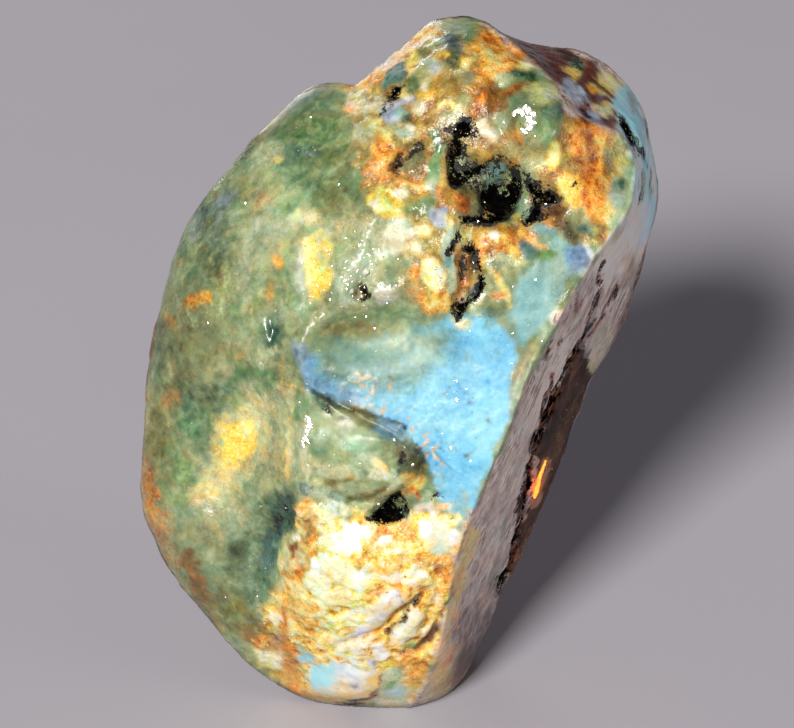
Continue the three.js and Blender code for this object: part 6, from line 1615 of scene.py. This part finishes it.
for _ in range(120):
    SPARKS.append((rng.normal(352, 26), rng.normal(272, 24), .03 + .06 * rng.random()))
for _ in range(90):
    SPARKS.append((rng.uniform(200, 560), rng.uniform(90, 640), .025 + .04 * rng.random()))
sc, sn, ss = [], [], []
for x, y, s, *loose in SPARKS:
    m = np.argmin((qq[:, 0] - x) ** 2 + (qq[:, 1] - y) ** 2 + np.where(N @ BACK < .1, 1e6, 0))
    tilt = H + rng.normal(size=3) * (loose[0] if loose else .05)
    sc.append(P[m] - N[m] * s * .12)
    sn.append(tilt / np.linalg.norm(tilt))
    ss.append(s * 1.25)
gv_, gt_ = crumb_shapes(np.array(sc), np.array(sn), ss, .35, 5)
glints = mesh_object("bright_grains", gv_, gt_, False)
glints.data.materials.append(plain_material(
    "bright_grain", [(0, lin(170, 176, 140)), (.5, lin(206, 210, 180)), (1, lin(236, 238, 220))], .1, .35, 0, 3.0))
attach(glints, "root")


# ---------------------------------------------------------------- sealed in the amber
def inside_point(x, y, depth_mm):
    """A point behind the broken face at drawing position (x, y), so far under the skin."""
    m = np.argmin((qq[:, 0] - x) ** 2 + (qq[:, 1] - y) ** 2 + np.where(N @ BACK < .1, 1e6, 0))
    return P[m] - BACK * depth_mm


def sheet_piece(c, n, a_mm, b_mm, thick, seed, curl=.25, ragged=.35, rings=7, around=26):
    """A thin, ragged, slightly dished leaf with a front, a back and a closed rim."""
    r = np.random.default_rng(seed)
    n = n / np.linalg.norm(n)
    u = np.cross(n, r.normal(size=3))
    u /= np.linalg.norm(u)
    w = np.cross(n, u)
    th = np.linspace(0, 2 * np.pi, around, endpoint=False)
    edge_r = 1 + ragged * sum(r.uniform(-1, 1) * np.cos(k * th + r.uniform(0, 6.3)) / k for k in range(1, 7))
    V, F = [], []
    for side in (1, -1):
        for i in range(1, rings + 1):
            rr = i / rings
            x, y = a_mm * rr * edge_r * np.cos(th), b_mm * rr * edge_r * np.sin(th)
            z = curl * (x * x / a_mm + .6 * x * y / max(a_mm, b_mm)) + .06 * np.sin(3 * x + 1.7 * y + seed) * a_mm \
                + side * thick * .5 * (1 - rr ** 2) ** .5
            V.append(c + x[:, None] * u + y[:, None] * w + z[:, None] * n)
        V.append((c + side * thick * .5 * n)[None] + .06 * np.sin(seed) * a_mm * n)
    half = rings * around + 1
    V = np.vstack(V)
    for s, off in ((0, 0), (1, half)):
        for j in range(around):
            k = (j + 1) % around
            t = (off + half - 1, off + j, off + k)
            F.append(t if s == 0 else t[::-1])
            for i in range(rings - 1):
                a, b_ = off + i * around + j, off + i * around + k
                c_, d_ = off + (i + 1) * around + j, off + (i + 1) * around + k
                for t in ((a, c_, d_), (a, d_, b_)):
                    F.append(t if s == 0 else t[::-1])
    # the rim of front and back is one and the same ring
    F = np.array(F)
    rim0, rim1 = (rings - 1) * around, half + (rings - 1) * around
    F = np.where((F >= rim1) & (F < rim1 + around), F - rim1 + rim0, F)
    used, inv = np.unique(F, return_inverse=True)
    return V[used], inv.reshape(F.shape)


from mathutils.bvhtree import BVHTree
SKIN = BVHTree.FromPolygons([tuple(x) for x in P.tolist()], T.tolist())


def sealed(piece, margin=.3):
    """Draws a piece in, and down if need be, until all of it lies under the skin."""
    V, F = piece
    for _ in range(14):
        worst, way = 1e9, None
        for x in V[::2]:
            hit, n, _i, d = SKIN.find_nearest(Vector(x))
            depth = d if (hit - Vector(x)).dot(n) > 0 else -d
            if depth < worst:
                worst, way = depth, n
        if worst > margin:
            return V, F
        c = V.mean(0)
        V = c + (V - c) * .88 - np.array(way) * min(.5, margin - worst)
    return V, F


def joined(name, pieces, smooth_shade=True):
    V, F, n = [], [], 0
    for a, b in (sealed(x) for x in pieces):
        V.append(a)
        F.append(b + n)
        n += len(a)
    ob = mesh_object(name, np.vstack(V), np.vstack(F), smooth_shade)
    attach(ob, "root")
    return ob


soot = []
for i, (x, y, dp, a, b) in enumerate(((372, 320, 1.6, .9, .5), (350, 470, 1.4, .7, .4), (300, 260, 1.8, .8, .5), (240, 300, 1.7, .9, .4),
                                      (450, 380, 2.2, 1.0, .6), (420, 460, 1.6, .6, .4), (330, 160, 1.5, .7, .4), (250, 430, 1.6, .9, .5),
                                      (490, 500, 2.0, .9, .5), (260, 540, 1.5, .9, .5), (200, 300, 1.4, .6, .3), (540, 290, 1.8, .7, .5),
                                      (390, 340, 1.1, .5, .25), (310, 320, 1.2, .5, .3), (230, 500, 1.3, .6, .3), (355, 445, .9, .4, .2))):
    soot.append(sheet_piece(inside_point(x, y, dp), BACK + .9 * rng.normal(size=3), a, b, .14, 100 + i, .3, .5, 5, 18))
for i in range(26):
    m = rng.integers(len(P))
    soot.append(sheet_piece(P[m] - N[m] * rng.uniform(1.2, 4.0), rng.normal(size=3), rng.uniform(.25, .9), rng.uniform(.2, .5), .12, 200 + i, .3, .5, 4, 14))
bub = []
for i in range(44):
    m = rng.integers(len(P))
    s = rng.uniform(.10, .34)
    c = P[m] - N[m] * rng.uniform(.8, 5.0)
    g_, f_ = geodesic(4)
    k = 1 + .10 * waves(g_ * 2 + i, 1.0)
    st_ = np.array([1, rng.uniform(.75, 1), rng.uniform(.55, .9)])
    bub.append((c + g_ * st_ * s * k[:, None], f_))
bubbles = joined("sealed_bubbles", bub)
bubbles.data.materials.append(plain_material("bubble", [(0, lin(226, 170, 90)), (.6, lin(246, 214, 150)), (1, lin(255, 240, 200))], .12, .75, 0, 2.0, 1.3))

veil = []
for i, (x, y, dp, a, b) in enumerate(((470, 400, 1.4, 2.6, 3.4), (400, 330, 1.3, 2.0, 1.1), (340, 450, 1.2, 2.2, 1.1), (230, 470, 1.5, 1.6, 2.2),
                                      (290, 300, 1.6, 1.4, 2.2), (540, 300, 1.5, 1.4, 2.0), (270, 200, 1.6, 1.8, 1.6), (430, 90, 1.5, 1.8, 1.4))):
    veil.append(sheet_piece(inside_point(x, y, dp), BACK + .35 * rng.normal(size=3), a, b, .06, 300 + i, .12, .3, 8, 30))
for i in range(10):
    m = rng.integers(len(P))
    veil.append(sheet_piece(P[m] - N[m] * rng.uniform(1.6, 4.5), N[m] + .5 * rng.normal(size=3), rng.uniform(.8, 2.2), rng.uniform(.6, 1.6), .06, 400 + i, .15, .35, 7, 26))
veils = joined("sealed_veils", veil)
veils.data.materials.append(plain_material("veil", [(0, lin(214, 150, 60)), (.5, lin(240, 200, 120)), (1, lin(250, 236, 190))], .16, .7, .02, 2.5, 1.33))

# a small orange sheet deep in the flank that glows by itself: a painted glint, standing in for light carried through
# the lump
painted_glint = []
for (x, y, dp, a, b, n) in ((540, 486, .58, .52, 1.45, 500), (545, 470, .56, .2, .7, 501)):
    V_, F_2 = sheet_piece(np.zeros(3), np.array([0, 0, 1.0]), a, b, .12, n, .03, .05, 6, 22)
    ax = UP * .955 + RIGHT * .297                          # lies along the flank
    fl = RIGHT * .62 + BACK * .78
    u_ = np.cross(ax, fl)
    m = np.argmin((qq[:, 0] - x) ** 2 + (qq[:, 1] - y) ** 2 + np.where(N @ BACK < .02, 1e6, 0))
    Rm = np.stack([u_ / np.linalg.norm(u_), ax / np.linalg.norm(ax), np.cross(u_, ax) / np.linalg.norm(np.cross(u_, ax))])
    ext = V_.max(0) - V_.min(0)
    if ext[0] > ext[1]:
        V_ = V_[:, [1, 0, 2]]
        F_2 = F_2[:, ::-1]
    painted_glint.append((P[m] - N[m] * dp + V_ @ Rm, F_2))
    # dark flakes behind the painted glow keep it from shining out of the back
    if n == 500:
        soot.append(sheet_piece(P[m] - N[m] * 1.7, N[m], 2.6, 2.0, .16, 520, .05, .15, 6, 22))
        soot.append(sheet_piece(P[m] - N[m] * 1.2 - BACK * 1.3, BACK, 2.2, 1.8, .16, 521, .05, .15, 6, 22))
painted_glint_obj = joined("sealed_painted_glint", painted_glint)
painted_glint_obj.data.materials.append(plain_material("painted_glint", [(0, lin(255, 96, 24)), (.5, lin(255, 130, 40)), (1, lin(255, 190, 96))], .2, .3, 0, 3.0, 1.45, (lin(255, 138, 32), 10.0)))

flakes = joined("sealed_flakes", soot)
flakes.data.materials.append(plain_material("soot", [(0, (.004, .003, .003)), (.6, (.02, .012, .008)), (1, (.07, .03, .012))], .55, 0, .03, 5.0))

# ---------------------------------------------------------------- floor, light and eye
def area(name, az, el, dist, size, power, colour=(1, 1, 1)):
    """A square lamp at a bearing from the lump, az turned from the front (-Y) towards +X."""
    d = Vector((math.sin(math.radians(az)) * math.cos(math.radians(el)), -math.cos(math.radians(az)) * math.cos(math.radians(el)), math.sin(math.radians(el))))
    li = bpy.data.lights.new(name, "AREA")
    li.shape, li.size, li.energy, li.color = "DISK", size, power, colour
    ob = bpy.data.objects.new(name, li)
    ob.location = Vector((0, 0, .022)) + d * dist
    ob.rotation_euler = d.to_track_quat("Z", "Y").to_euler()
    bpy.context.scene.collection.objects.link(ob)
    return ob


KEY_E = 4.35                                              # watts per square metre on a face square to the key light
key_d, key_s = 2.5, .50
area("key", -8, 36, key_d, key_s, KEY_E * math.pi * key_d ** 2, (1.0, .975, .93))
area("side_fill", 74, 10, 2.6, .8, .62 * math.pi * 2.6 ** 2, (.97, .95, 1.0))
area("rear_fill", 214, 11, 2.6, 1.0, .72 * math.pi * 2.6 ** 2, (1.0, .98, .95))

world = bpy.data.worlds.new("studio")
bpy.context.scene.world = world
world.use_nodes = True
bg = world.node_tree.nodes["Background"]
bg.inputs[0].default_value = (.52, .50, .60, 1)
bg.inputs[1].default_value = .11

fm = bpy.data.meshes.new("floor")
fm.from_pydata([(-9, -9, 0), (9, -9, 0), (9, 9, 0), (-9, 9, 0)], [], [(0, 1, 2, 3)])
floor = bpy.data.objects.new("floor", fm)
bpy.context.scene.collection.objects.link(floor)
Fm = Nodes("floor_paint")
fb = Fm.new("ShaderNodeBsdfPrincipled")
fn = Fm.noise(Fm.mm(), .02, 3, .5, 0)["Fac"]
Fm.link(Fm.mixc(fn, (.40, .385, .43), (.43, .415, .46)), fb.inputs["Base Color"])
fb.inputs["Roughness"].default_value = .7
fo_ = Fm.new("ShaderNodeOutputMaterial")
Fm.link(fb.outputs[0], fo_.inputs["Surface"])
fm.materials.append(Fm.mat)

cam = bpy.data.cameras.new("eye")
cam.sensor_width = 36
cam.lens = 36 * .3 / (794 / UNIT / 1000)
cam.clip_start, cam.clip_end = .01, 20
eye = bpy.data.objects.new("eye", cam)
bpy.context.scene.collection.objects.link(eye)
at_ = Vector((0, 0, Z0 / 1000)) + Vector(BACK) * .3
eye.matrix_world = Matrix(((RIGHT[0], UP[0], BACK[0], at_[0]), (RIGHT[1], UP[1], BACK[1], at_[1]), (RIGHT[2], UP[2], BACK[2], at_[2]), (0, 0, 0, 1)))
bpy.context.scene.camera = eye
bpy.context.scene.view_settings.view_transform = "Standard"
